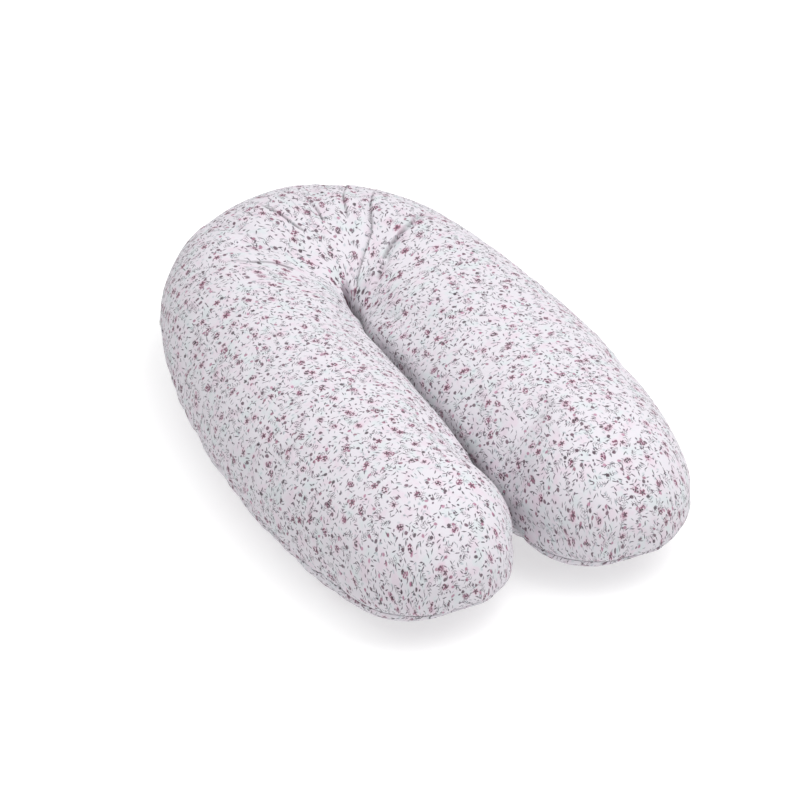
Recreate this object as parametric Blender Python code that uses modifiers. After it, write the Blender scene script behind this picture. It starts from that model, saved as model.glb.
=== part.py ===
"""Nursing pillow: a soft horseshoe in a zipped cover, lying flat.

Metres, +Z up. The pillow rests on z = 0 and is symmetric about x = 0, apart from its zip
and label. The crown is at +Y and the two arm tips are at -Y, with the slit between the
arms along x = 0. The origin is under the middle of the pillow's box.

The body of the pillow is three soft segments, the crown and the two arms, that meet where
the arms leave the crown. Each segment has a cover, an inner case and a filling. The cover
and the case are two panels that meet at a seam all round.
"""

import math

import bmesh
import bpy
from mathutils import Matrix, Vector

# Overall size
LENGTH = 0.800
WIDTH = 0.512
HEIGHT = 0.194

# Plan outline
CROWN_RADIUS = 0.216
TIP_RADIUS = 0.112
SLIT_WIDTH = 0.012
CROOK_RADIUS = 0.016
CROOK_TAPER = 0.080

# Section
ARM_DROP = 0.008
SEAM_HEIGHT = 0.080
FLAT_SHARE = 0.40
OUTER_POWER = 2.3
INNER_POWER = 3.0
TOP_ROUNDING = 0.56
UNDER_POWER = 2.0
TOP_TIP_ROUNDING = 0.030
UNDER_TIP_ROUNDING = 0.090

# Layers
COVER_THICKNESS = 0.0012
CASE_INSET = 0.0064
CASE_THICKNESS = 0.0010
FILLING_GAP = 0.0025
SEAM_GAP = 0.0008
SEGMENT_GAP = 0.0010

# Zip
ZIP_END_MARGIN = 0.030
ZIP_EDGE_ROOM = 0.0009
COIL_RADIUS = 0.00115
COIL_SPACING = 0.0036
TAPE_WIDTH = 0.0110
TAPE_THICKNESS = 0.0006
TAPE_CLEARANCE = 0.0004
TAPE_LEAN = 0.0020
STOP_LENGTH = 0.0030
STOP_GAP = 0.0006
STOP_RADIUS = 0.0012

# Slider
SLIDER_LENGTH = 0.0095
SLIDER_PLATE = 0.0009
SLIDER_CLEARANCE = 0.00055
SLIDER_WEB = 0.0006
SLIDER_LIP = 0.0008
BAIL_LENGTH = 0.0062
BAIL_WIRE = 0.0009
BAIL_INSIDE = 0.0021
PULL_LENGTH = 0.0240
PULL_WIDTH = 0.0056
PULL_THICKNESS = 0.0010
PULL_BAR = 0.0010
PULL_SLOT_WIDTH = 0.0018
PULL_SLOT_LENGTH = 0.0042
PULL_HOLE_RADIUS = 0.0011

# Label
LABEL_OFFSET = 0.045
LABEL_WIDTH = 0.022
LABEL_DROP = 0.030
LABEL_THICKNESS = 0.0005
LABEL_LOOP = 0.0024
LABEL_CLEARANCE = 0.0004

# Fineness
CROWN_STEPS = 18
ARM_STEPS = 6
TIP_STEPS = 5
COVER_STEPS = 10
INNER_STEPS = 6
ZIP_STEPS = 24

# Where the outline's arcs are centred
CROWN_Y = LENGTH / 2 - CROWN_RADIUS
TIP_X = SLIT_WIDTH / 2 + TIP_RADIUS
TIP_Y = -LENGTH / 2 + TIP_RADIUS


def flank_reach(radius):
    """Distance in Y that a flank arc of this radius spans between the crown and tip centres."""
    half = WIDTH / 2
    crown_reach = (half - CROWN_RADIUS) * (2 * radius - CROWN_RADIUS - half)
    tip_reach = (half - TIP_X - TIP_RADIUS) * (2 * radius - TIP_RADIUS - half + TIP_X)
    return math.sqrt(max(crown_reach, 0)), math.sqrt(max(tip_reach, 0))


def find_flank_radius():
    """Radius of the arc that touches the crown arc, the tip arc and the widest line."""
    short, long = WIDTH / 2, 200 * WIDTH
    for _ in range(80):
        radius = (short + long) / 2
        if sum(flank_reach(radius)) < CROWN_Y - TIP_Y:
            short = radius
        else:
            long = radius
    return radius


FLANK_RADIUS = find_flank_radius()
FLANK_X = WIDTH / 2 - FLANK_RADIUS
FLANK_Y = CROWN_Y - flank_reach(FLANK_RADIUS)[0]
CROWN_JOIN = math.atan2(CROWN_Y - FLANK_Y, -FLANK_X)
TIP_JOIN = math.atan2(TIP_Y - FLANK_Y, TIP_X - FLANK_X)

# The zip follows the crown arc, inside the cover
ZIP_START = CROWN_JOIN + ZIP_END_MARGIN / CROWN_RADIUS
ZIP_END = math.pi - ZIP_START
CROWN_STEP = math.pi / CROWN_STEPS
TAPE_FACET = 1 - math.cos(CROWN_STEP / 2)
COIL_PATH_RADIUS = (
    (CROWN_RADIUS - COVER_THICKNESS) * (1 - TAPE_FACET) - TAPE_CLEARANCE - TAPE_THICKNESS / 2)
SLIDER_HALF_GAP = COIL_RADIUS + SLIDER_CLEARANCE
SLIDER_WIDTH = COIL_SPACING + 2 * (SLIDER_HALF_GAP + SLIDER_LIP)
ZIP_OPENING = SLIDER_WIDTH + 2 * ZIP_EDGE_ROOM
SLIDER_HALF_DEPTH = SLIDER_HALF_GAP + SLIDER_PLATE
SLIDER_ANGLE = ZIP_START + (STOP_LENGTH + STOP_GAP + SLIDER_LENGTH / 2) / COIL_PATH_RADIUS
BAR_RADIUS_FROM_CENTRE = COIL_PATH_RADIUS + SLIDER_HALF_DEPTH + BAIL_INSIDE / 2


def on_circle(radius, angle, height=0.0):
    """Point at this angle and height on a circle about the crown's centre."""
    return Vector((radius * math.cos(angle), CROWN_Y + radius * math.sin(angle), height))


# ---------------------------------------------------------------- plan and section


def crown_reach(angle, inset):
    """Distance from the crown's centre to the outline, at this angle from +X."""
    side = min(angle, math.pi - angle)
    if side >= CROWN_JOIN:
        return CROWN_RADIUS - inset
    toward = Vector((math.cos(side), math.sin(side)))
    to_flank = Vector((FLANK_X, FLANK_Y - CROWN_Y))
    along = toward.dot(to_flank)
    radius = FLANK_RADIUS - inset
    return along + math.sqrt(radius ** 2 - to_flank.length_squared + along ** 2)


def arm_outer_x(y, inset):
    """Outer edge of the right arm at this y."""
    tip_radius = TIP_RADIUS - inset
    if y < TIP_Y + tip_radius * math.sin(TIP_JOIN):
        return TIP_X + math.sqrt(max(tip_radius ** 2 - (y - TIP_Y) ** 2, 0))
    return FLANK_X + math.sqrt((FLANK_RADIUS - inset) ** 2 - (y - FLANK_Y) ** 2)


def arm_inner_x(y, inset):
    """Inner edge of the right arm at this y: the crook, the slit and then the tip's arc."""
    if y < TIP_Y:
        return TIP_X - math.sqrt(max((TIP_RADIUS - inset) ** 2 - (y - TIP_Y) ** 2, 0))
    share = min(max(1 - (CROWN_Y - y) / CROOK_TAPER, 0), 1)
    share = share * share * (3 - 2 * share)
    return inset + SLIT_WIDTH / 2 * (1 - share) + CROOK_RADIUS * share


def fullness(y, inset, rounding):
    """How full the arm is at this y: 1 along its length, falling to 0 at the tip."""
    start = TIP_Y + rounding
    if y >= start:
        return 1.0
    end = TIP_Y - TIP_RADIUS + inset
    return math.sqrt(max(1 - ((start - y) / (start - end)) ** 2, 0))


def top_height(across, full, crest, inset):
    """Height of the top surface, at this share of the half width from the section's middle."""
    rise = crest - inset - SEAM_HEIGHT
    power = INNER_POWER if across < 0 else OUTER_POWER
    return SEAM_HEIGHT + full * rise * (1 - abs(across) ** power) ** TOP_ROUNDING


def under_height(across, full, inset):
    """Height of the underside: flat in the middle and curving up to the seam at the edges."""
    share = max(abs(across) - FLAT_SHARE, 0) / (1 - FLAT_SHARE)
    return SEAM_HEIGHT - full * (SEAM_HEIGHT - inset) * math.sqrt(1 - share ** UNDER_POWER)


def crown_stations(inset):
    """Stations round the crown: inner and outer points, fullness above and below, crest, angle."""
    stations = []
    for step in range(CROWN_STEPS + 1):
        angle = CROWN_STEP * step
        inner = on_circle(CROOK_RADIUS + inset, angle)
        outer = on_circle(crown_reach(angle, inset), angle)
        crest = HEIGHT - ARM_DROP * math.cos(angle) ** 2
        stations.append((inner, outer, 1.0, 1.0, crest, angle))
    return stations


def arm_stations(inset):
    """Stations along the right arm, from the crown to the tip, where the section closes."""
    start = CROWN_Y - SEGMENT_GAP
    levels = [start + (TIP_Y - start) * step / ARM_STEPS for step in range(ARM_STEPS + 1)]
    for step in range(1, TIP_STEPS + 1):
        levels.append(TIP_Y - (TIP_RADIUS - inset) * math.sin(math.pi / 2 * step / TIP_STEPS))
    stations = []
    for y in levels:
        inner = Vector((arm_inner_x(y, inset), y, 0))
        outer = Vector((arm_outer_x(y, inset), y, 0))
        above = fullness(y, inset, TOP_TIP_ROUNDING)
        below = fullness(y, inset, UNDER_TIP_ROUNDING)
        stations.append((inner, outer, above, below, HEIGHT - ARM_DROP, None))
    return stations


def edge_opening(angle):
    """Half the gap between the cover's panels at their outer edge: wide where the zip is."""
    near_zip = angle is not None and ZIP_START - CROWN_STEP < angle < ZIP_END + CROWN_STEP
    return ZIP_OPENING / 2 if near_zip else SEAM_GAP / 2


# ---------------------------------------------------------------- making objects


def clear_scene():
    """Empty the file that the script runs in."""
    for item in list(bpy.data.objects):
        bpy.data.objects.remove(item, do_unlink=True)


def make_collection(name):
    """Add a collection to the scene."""
    collection = bpy.data.collections.new(name)
    bpy.context.scene.collection.children.link(collection)
    return collection


def make_material(name, colour, roughness, metallic=0.0):
    """A Principled material in one colour."""
    material = bpy.data.materials.new(name)
    material.use_nodes = True
    shader = material.node_tree.nodes["Principled BSDF"]
    shader.inputs["Base Color"].default_value = (*colour, 1.0)
    shader.inputs["Roughness"].default_value = roughness
    shader.inputs["Metallic"].default_value = metallic
    material.diffuse_color = (*colour, 1.0)
    return material


def make_object(name, mesh, collection, material):
    """Add an object, with its material, to a collection."""
    item = bpy.data.objects.new(name, mesh)
    if material:
        mesh.materials.append(material)
    collection.objects.link(item)
    return item


def finish_mesh(name, shape, smooth_angle=40):
    """Turn a bmesh into a mesh whose faces point out and whose round parts are smooth."""
    bmesh.ops.recalc_face_normals(shape, faces=shape.faces)
    mesh = bpy.data.meshes.new(name)
    shape.to_mesh(mesh)
    shape.free()
    mesh.shade_smooth()
    mesh.set_sharp_from_angle(angle=math.radians(smooth_angle))
    return mesh


def add_solidify(item, thickness, offset=-1.0):
    """Give an open surface its thickness, inwards by default."""
    solidify = item.modifiers.new("Thickness", "SOLIDIFY")
    solidify.thickness = thickness
    solidify.offset = offset
    solidify.use_rim = True


def add_boolean(item, cutter, operation):
    """Cut an object with another, or join the other to it."""
    boolean = item.modifiers.new(operation.title(), "BOOLEAN")
    boolean.operation = operation
    boolean.solver = "EXACT"
    boolean.object = cutter


def as_guide(item):
    """Show a cutter as wire and leave it out of the picture."""
    item.hide_render = True
    item.display_type = "WIRE"
    return item


def loft(rows, closed=False, point_end=False):
    """Skin a list of equal rows of points. A closed row is a loop, and its ends are capped."""
    shape = bmesh.new()
    grid = [[shape.verts.new(point) for point in row] for row in rows]
    if point_end:
        for vert in grid[-1][1:]:
            shape.verts.remove(vert)
        grid[-1] = [grid[-1][0]] * len(rows[-1])
    count = len(rows[0])
    for near, far in zip(grid, grid[1:]):
        for index in range(count if closed else count - 1):
            after = (index + 1) % count
            corners = [near[index], near[after], far[after], far[index]]
            shape.faces.new(list(dict.fromkeys(corners)))
    if closed:
        shape.faces.new(grid[0])
        if not point_end:
            shape.faces.new(grid[-1])
    return shape


def orient_outward(shape, top):
    """Turn an open panel's faces so that they point up for a top panel and down for the other."""
    bmesh.ops.recalc_face_normals(shape, faces=shape.faces)
    upward = sum(face.normal.z * face.calc_area() for face in shape.faces)
    if (upward > 0) != top:
        bmesh.ops.reverse_faces(shape, faces=shape.faces)


# ---------------------------------------------------------------- soft segments


def across_shares(steps):
    """Shares across a section, from -1 at the inner edge to 1, closer together at the edges."""
    return [-math.cos(math.pi * step / steps) for step in range(steps + 1)]


def panel_rows(stations, inset, top, steps, zipped):
    """Rows of points over one panel, one row for each station."""
    rows = []
    for inner, outer, above, below, crest, angle in stations:
        row = []
        for across in across_shares(steps):
            point = inner.lerp(outer, (across + 1) / 2)
            gap = edge_opening(angle) if zipped and across > 0 else SEAM_GAP / 2
            if top:
                height = max(top_height(across, above, crest, inset), SEAM_HEIGHT + gap)
            else:
                height = min(under_height(across, below, inset), SEAM_HEIGHT - gap)
            row.append(Vector((point.x, point.y, height)))
        rows.append(row)
    return rows


def section_rows(stations, inset, steps):
    """Closed loops round the filling, one for each station."""
    rows = []
    for inner, outer, above, below, crest, _ in stations:
        shares = across_shares(steps)
        over = [(share, top_height(share, above, crest, inset)) for share in shares]
        under = [(share, under_height(share, below, inset)) for share in shares[-2:0:-1]]
        row = []
        for across, height in over + under:
            point = inner.lerp(outer, (across + 1) / 2)
            row.append(Vector((point.x, point.y, height)))
        rows.append(row)
    return rows


def mirrored(rows):
    """The same rows for the left arm."""
    return [[Vector((-point.x, point.y, point.z)) for point in row] for row in rows]


def segment_stations(segment, inset):
    """Stations of the crown, or of an arm as it is on the right."""
    return crown_stations(inset) if segment == "crown" else arm_stations(inset)


def make_panel(layer, segment, top, collection, material):
    """One fabric panel: an open surface over a segment, given its thickness inwards."""
    inset, thickness, steps, zipped = {
        "cover": (0.0, COVER_THICKNESS, COVER_STEPS, True),
        "inner_case": (CASE_INSET, CASE_THICKNESS, INNER_STEPS, False),
    }[layer]
    name = f"{layer}_{'top' if top else 'bottom'}_{segment}"
    rows = panel_rows(segment_stations(segment, inset), inset, top, steps, zipped)
    if segment == "left_arm":
        rows = mirrored(rows)
    if segment != "crown":
        rows[-1] = [sum(rows[-1], Vector()) / len(rows[-1])] * len(rows[-1])
    shape = loft(rows, point_end=segment != "crown")
    orient_outward(shape, top)
    mesh = bpy.data.meshes.new(name)
    shape.to_mesh(mesh)
    shape.free()
    mesh.shade_smooth()
    item = make_object(name, mesh, collection, material)
    add_solidify(item, thickness)
    return item


def make_filling(segment, collection, material):
    """The filling of one segment, a closed soft solid inside the inner case."""
    inset = CASE_INSET + CASE_THICKNESS + FILLING_GAP
    rows = section_rows(segment_stations(segment, inset), inset, INNER_STEPS)
    if segment == "left_arm":
        rows = mirrored(rows)
    shape = loft(rows, closed=True, point_end=segment != "crown")
    mesh = finish_mesh(f"filling_{segment}", shape)
    return make_object(f"filling_{segment}", mesh, collection, material)


# ---------------------------------------------------------------- zip


def zip_angles():
    """Angles of the points along the zip."""
    return [ZIP_START + (ZIP_END - ZIP_START) * step / ZIP_STEPS for step in range(ZIP_STEPS + 1)]


def make_tape(side, collection, material):
    """One zip tape, a curved strip behind the cover's edge. Side is 1 above, -1 below."""
    start = COIL_SPACING / 2 + COIL_RADIUS + TAPE_CLEARANCE
    edges = (
        (COIL_PATH_RADIUS, SEAM_HEIGHT + side * start),
        (COIL_PATH_RADIUS - TAPE_LEAN, SEAM_HEIGHT + side * (start + TAPE_WIDTH)))
    rows = [[on_circle(radius, angle, z) for radius, z in edges] for angle in zip_angles()]
    name = f"zip_tape_{'upper' if side > 0 else 'lower'}"
    mesh = finish_mesh(name, loft(rows))
    item = make_object(name, mesh, collection, material)
    add_solidify(item, TAPE_THICKNESS, offset=0.0)
    return item


def make_coil(side, collection, material):
    """One row of the nylon coil, drawn as the tube that its turns fill."""
    name = f"zip_coil_{'upper' if side > 0 else 'lower'}"
    curve = bpy.data.curves.new(name, "CURVE")
    curve.dimensions = "3D"
    curve.bevel_depth = COIL_RADIUS
    curve.bevel_resolution = 1
    curve.use_fill_caps = True
    end_room = (STOP_LENGTH + STOP_GAP) / COIL_PATH_RADIUS
    start, end = ZIP_START + end_room, ZIP_END - end_room
    spline = curve.splines.new("POLY")
    spline.points.add(ZIP_STEPS)
    height = SEAM_HEIGHT + side * COIL_SPACING / 2
    for step, point in enumerate(spline.points):
        angle = start + (end - start) * step / ZIP_STEPS
        point.co = (*on_circle(COIL_PATH_RADIUS, angle, height), 1.0)
    curve.materials.append(material)
    item = bpy.data.objects.new(name, curve)
    collection.objects.link(item)
    return item


def make_top_stop(side, collection, material):
    """The closed end's stop on one coil row, a short round clip."""
    name = f"zip_top_stop_{'upper' if side > 0 else 'lower'}"
    shape = bmesh.new()
    bmesh.ops.create_cone(
        shape, cap_ends=True, segments=12, radius1=STOP_RADIUS, radius2=STOP_RADIUS,
        depth=STOP_LENGTH, matrix=Matrix.Rotation(math.pi / 2, 4, "X"))
    item = make_object(name, finish_mesh(name, shape), collection, material)
    angle = ZIP_START + STOP_LENGTH / 2 / COIL_PATH_RADIUS
    item.location = on_circle(COIL_PATH_RADIUS, angle, SEAM_HEIGHT + side * COIL_SPACING / 2)
    item.rotation_euler.z = angle
    return item


def make_bottom_stop(collection, material):
    """The stop at the far end of the zip, one block across both rows."""
    shape = bmesh.new()
    size = (2 * STOP_RADIUS, STOP_LENGTH, COIL_SPACING + 2 * STOP_RADIUS)
    bmesh.ops.create_cube(shape, size=1, matrix=Matrix.Diagonal((*size, 1)))
    mesh = finish_mesh("zip_bottom_stop", shape)
    item = make_object("zip_bottom_stop", mesh, collection, material)
    angle = ZIP_END - STOP_LENGTH / 2 / COIL_PATH_RADIUS
    item.location = on_circle(COIL_PATH_RADIUS, angle, SEAM_HEIGHT)
    item.rotation_euler.z = angle
    bevel = item.modifiers.new("Edges", "BEVEL")
    bevel.width = STOP_RADIUS / 3
    bevel.segments = 2
    return item


def slider_outline():
    """The slider's section, as (depth, height) points: two plates, a web and a lip at each edge."""
    side = SLIDER_WIDTH / 2
    slot = TAPE_THICKNESS / 2 + SLIDER_CLEARANCE
    quarter = [
        (SLIDER_HALF_GAP, SLIDER_WEB / 2), (SLIDER_HALF_GAP, side - SLIDER_LIP),
        (slot, side - SLIDER_LIP), (slot, side), (SLIDER_HALF_DEPTH, side)]
    outer = quarter + [(x, -z) for x, z in reversed(quarter)]
    return outer + [(-x, -z) for x, z in outer]


def make_slider(axis, collection, guides, material):
    """The slider: two plates and a web, drawn as one section along the zip, with its bail."""
    shape = bmesh.new()
    half = SLIDER_LENGTH / 2
    face = shape.faces.new([shape.verts.new((x, -half, z)) for x, z in slider_outline()])
    made = bmesh.ops.extrude_face_region(shape, geom=[face])
    moved = [item for item in made["geom"] if isinstance(item, bmesh.types.BMVert)]
    bmesh.ops.translate(shape, verts=moved, vec=(0, SLIDER_LENGTH, 0))
    mesh = finish_mesh("zip_slider_body", shape)
    slider = make_object("zip_slider_body", mesh, collection, material)
    slider.parent = axis
    slider.location = (COIL_PATH_RADIUS, 0, 0)
    bail = make_bail(guides)
    bail.parent = slider
    add_boolean(slider, bail, "UNION")
    return slider


def make_bail(guides):
    """The arch that holds the pull on the slider's outer plate, in the slider's own axes."""
    curve = bpy.data.curves.new("bail", "CURVE")
    curve.dimensions = "3D"
    curve.bevel_depth = BAIL_WIRE / 2
    curve.bevel_resolution = 1
    curve.use_fill_caps = True
    foot = SLIDER_HALF_DEPTH - SLIDER_PLATE / 2
    crest = SLIDER_HALF_DEPTH + BAIL_INSIDE + BAIL_WIRE / 2
    reach = (BAIL_LENGTH - BAIL_WIRE) / 2
    shoulder = reach - BAIL_WIRE
    path = [(foot, -reach), (crest - BAIL_WIRE, -reach), (crest, -shoulder),
            (crest, shoulder), (crest - BAIL_WIRE, reach), (foot, reach)]
    spline = curve.splines.new("POLY")
    spline.points.add(len(path) - 1)
    for point, (x, y) in zip(spline.points, path):
        point.co = (x, y, 0, 1)
    drawn = bpy.data.objects.new("bail_curve", curve)
    guides.objects.link(drawn)
    evaluated = drawn.evaluated_get(bpy.context.evaluated_depsgraph_get())
    mesh = bpy.data.meshes.new_from_object(evaluated)
    bpy.data.objects.remove(drawn, do_unlink=True)
    welded = bmesh.new()
    welded.from_mesh(mesh)
    bmesh.ops.remove_doubles(welded, verts=welded.verts, dist=0.00001)
    bmesh.ops.recalc_face_normals(welded, faces=welded.faces)
    welded.to_mesh(mesh)
    welded.free()
    bail = bpy.data.objects.new("bail_guide", mesh)
    guides.objects.link(bail)
    return as_guide(bail)


def make_pull(axis, collection, guides, material):
    """The pull tab: a rounded plate with the slot that the bail passes through.

    Its own axes have the bar at the origin, the plate along +Y and its thickness along X.
    """
    half = PULL_WIDTH / 2
    outline = [(-half, -PULL_BAR / 2), (half, -PULL_BAR / 2)]
    end = PULL_LENGTH - half
    for step in range(9):
        angle = math.pi * step / 8
        outline.append((half * math.cos(angle), end + half * math.sin(angle)))
    shape = bmesh.new()
    face = shape.faces.new([shape.verts.new((-PULL_THICKNESS / 2, y, z)) for z, y in outline])
    made = bmesh.ops.extrude_face_region(shape, geom=[face])
    moved = [item for item in made["geom"] if isinstance(item, bmesh.types.BMVert)]
    bmesh.ops.translate(shape, verts=moved, vec=(PULL_THICKNESS, 0, 0))
    pull = make_object("zip_pull_tab", finish_mesh("zip_pull_tab", shape), collection, material)
    pull.parent = axis
    slot_middle = PULL_BAR / 2 + PULL_SLOT_LENGTH / 2
    slot = bmesh.new()
    size = (3 * PULL_THICKNESS, PULL_SLOT_LENGTH, PULL_SLOT_WIDTH)
    place = Matrix.Translation((0, slot_middle, 0)) @ Matrix.Diagonal((*size, 1))
    bmesh.ops.create_cube(slot, size=1, matrix=place)
    hole = bmesh.new()
    turned = Matrix.Translation((0, end, 0)) @ Matrix.Rotation(math.pi / 2, 4, "Y")
    bmesh.ops.create_cone(
        hole, cap_ends=True, segments=16, radius1=PULL_HOLE_RADIUS, radius2=PULL_HOLE_RADIUS,
        depth=3 * PULL_THICKNESS, matrix=turned)
    for name, cutter_shape in (("pull_slot_cutter", slot), ("pull_hole_cutter", hole)):
        cutter = as_guide(make_object(name, finish_mesh(name, cutter_shape), guides, None))
        cutter.parent = axis
        add_boolean(pull, cutter, "DIFFERENCE")
    return pull


def make_axis(name, collection, parent=None, location=(0, 0, 0), turn=0.0):
    """An empty on a joint's axis, which the moving piece hangs from."""
    axis = bpy.data.objects.new(name, None)
    collection.objects.link(axis)
    axis.parent = parent
    axis.location = location
    axis.rotation_euler.z = turn
    return axis


def make_zip(collection, guides, materials):
    """The zip: tapes, coil rows and stops on the crown, with the slider and its pull."""
    for side in (1, -1):
        make_tape(side, collection, materials["tape"])
        make_coil(side, collection, materials["coil"])
        make_top_stop(side, collection, materials["metal"])
    make_bottom_stop(collection, materials["metal"])
    track = make_axis(
        "slider_axis", collection, location=(0, CROWN_Y, SEAM_HEIGHT), turn=SLIDER_ANGLE)
    make_slider(track, collection, guides, materials["metal"])
    pin = make_axis(
        "pull_axis", collection, parent=track, location=(BAR_RADIUS_FROM_CENTRE, 0, 0))
    make_pull(pin, collection, guides, materials["metal"])


# ---------------------------------------------------------------- label


def make_label(collection, material):
    """The care label: a blank tape folded over, hanging from the seam beside the zip."""
    angle = ZIP_START - LABEL_OFFSET / CROWN_RADIUS
    place = on_circle(crown_reach(angle, 0.0), angle, SEAM_HEIGHT)
    facing = math.atan2(place.y - FLANK_Y, place.x - FLANK_X)
    near = LABEL_THICKNESS / 2 + LABEL_CLEARANCE
    far = near + LABEL_LOOP
    fold = [(near, 0), (far, 0), (far, -LABEL_DROP), (near, -LABEL_DROP), (near, -LABEL_LOOP)]
    rows = [[Vector((x, y, z)) for x, z in fold] for y in (-LABEL_WIDTH / 2, LABEL_WIDTH / 2)]
    mesh = finish_mesh("care_label", loft(rows))
    item = make_object("care_label", mesh, collection, material)
    item.location = place
    item.rotation_euler.z = facing
    add_solidify(item, LABEL_THICKNESS, offset=0.0)
    return item


# ---------------------------------------------------------------- the pillow


def main():
    """Build the pillow."""
    clear_scene()
    pillow = make_collection("nursing_pillow")
    guides = make_collection("cutters_and_guides")
    materials = {
        "cover": make_material("printed_cotton", (0.80, 0.76, 0.80), 0.85),
        "case": make_material("plain_ticking", (0.86, 0.85, 0.82), 0.90),
        "filling": make_material("fibre_filling", (0.92, 0.92, 0.90), 0.95),
        "tape": make_material("zip_tape", (0.84, 0.83, 0.84), 0.80),
        "coil": make_material("zip_nylon", (0.82, 0.81, 0.82), 0.40),
        "metal": make_material("zip_metal", (0.62, 0.62, 0.64), 0.30, metallic=1.0),
        "label": make_material("label_satin", (0.93, 0.92, 0.90), 0.50),
    }
    for segment in ("crown", "left_arm", "right_arm"):
        for top in (True, False):
            make_panel("cover", segment, top, pillow, materials["cover"])
            make_panel("inner_case", segment, top, pillow, materials["case"])
        make_filling(segment, pillow, materials["filling"])
    make_zip(pillow, guides, materials)
    make_label(pillow, materials["label"])
    bpy.context.view_layer.update()


main()
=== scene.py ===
"""Looks of a horseshoe nursing pillow with a printed cotton cover and a zip round its crown.

Metres, +Z up. The pillow lies on z = 0 with its crown at +Y and its two arm tips at -Y. The
two arms lie side by side, with the slit between them along x = 0.
"""

import logging
import math
from dataclasses import dataclass, field
from enum import Enum
from functools import cached_property

import bmesh
import bpy
import numpy as np
from mathutils import Matrix, Vector, kdtree, noise
from mathutils.bvhtree import BVHTree


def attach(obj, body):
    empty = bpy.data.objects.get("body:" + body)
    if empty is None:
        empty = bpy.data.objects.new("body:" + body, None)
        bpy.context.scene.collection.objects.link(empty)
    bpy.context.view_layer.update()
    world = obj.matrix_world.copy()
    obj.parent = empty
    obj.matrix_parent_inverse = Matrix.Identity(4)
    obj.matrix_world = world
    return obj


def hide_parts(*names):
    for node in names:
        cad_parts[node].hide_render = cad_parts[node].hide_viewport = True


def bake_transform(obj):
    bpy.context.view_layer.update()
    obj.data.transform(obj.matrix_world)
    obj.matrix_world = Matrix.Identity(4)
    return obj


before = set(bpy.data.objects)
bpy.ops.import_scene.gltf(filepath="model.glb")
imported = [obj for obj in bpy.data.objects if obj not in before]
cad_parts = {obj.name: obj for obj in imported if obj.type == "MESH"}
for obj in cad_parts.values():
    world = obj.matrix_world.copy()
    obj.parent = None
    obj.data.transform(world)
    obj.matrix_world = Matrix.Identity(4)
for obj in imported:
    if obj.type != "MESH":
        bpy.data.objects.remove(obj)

# Angle on the crown, in radians from +X, at which the zip starts.
ZIP_START = 0.451574
# How far past the zip's start the label is caught in the seam, in metres.
LABEL_GAP = 0.045
LOG = logging.getLogger("nursing_pillow")


class Side(Enum):
    """The wearer's side of the pillow: its sign along X."""

    LEFT = -1
    RIGHT = 1

    @property
    def word(self) -> str:
        """The side's name, as pieces and bodies use it."""
        return self.name.lower()


class Panel(Enum):
    """The two panels of a cover or a case: the sign of their height from the seam."""

    TOP = 1
    BOTTOM = -1

    @property
    def word(self) -> str:
        """The panel's name, as pieces use it."""
        return self.name.lower()


class Weave(Enum):
    """How a woven cloth's threads cross."""

    PLAIN = "plain"
    TWILL = "twill"


# ---------------------------------------------------------------- shader expressions


class Signal:
    """A shader socket that takes part in Python expressions.

    Numbers go through Math nodes. Vectors and colours use the methods of Shader.
    """

    def __init__(self, shader: "Shader", socket: bpy.types.NodeSocket) -> None:
        self.shader = shader
        self.socket = socket

    def _maths(self, operation: str, *others: "Signal | float") -> "Signal":
        """Adds a Math node for this socket and the others, in that order."""
        return self.shader.maths(operation, self, *others)

    def __add__(self, other: "Signal | float") -> "Signal":
        """This plus another."""
        return self._maths("ADD", other)

    __radd__ = __add__

    def __sub__(self, other: "Signal | float") -> "Signal":
        """This less another."""
        return self._maths("SUBTRACT", other)

    def __rsub__(self, other: "Signal | float") -> "Signal":
        """Another less this."""
        return self.shader.maths("SUBTRACT", other, self)

    def __mul__(self, other: "Signal | float") -> "Signal":
        """This times another."""
        return self._maths("MULTIPLY", other)

    __rmul__ = __mul__

    def __truediv__(self, other: "Signal | float") -> "Signal":
        """This over another."""
        return self._maths("DIVIDE", other)

    def __neg__(self) -> "Signal":
        """This with its sign changed."""
        return self._maths("MULTIPLY", -1.0)

    def __abs__(self) -> "Signal":
        """This without its sign."""
        return self._maths("ABSOLUTE")

    def above(self, edge: "Signal | float") -> "Signal":
        """1 where this is greater than the edge, or 0."""
        return self._maths("GREATER_THAN", edge)

    def wrapped(self, period: float) -> "Signal":
        """This within a repeat that is centred on nought."""
        return self._maths("WRAP", -period / 2, period / 2)


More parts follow.
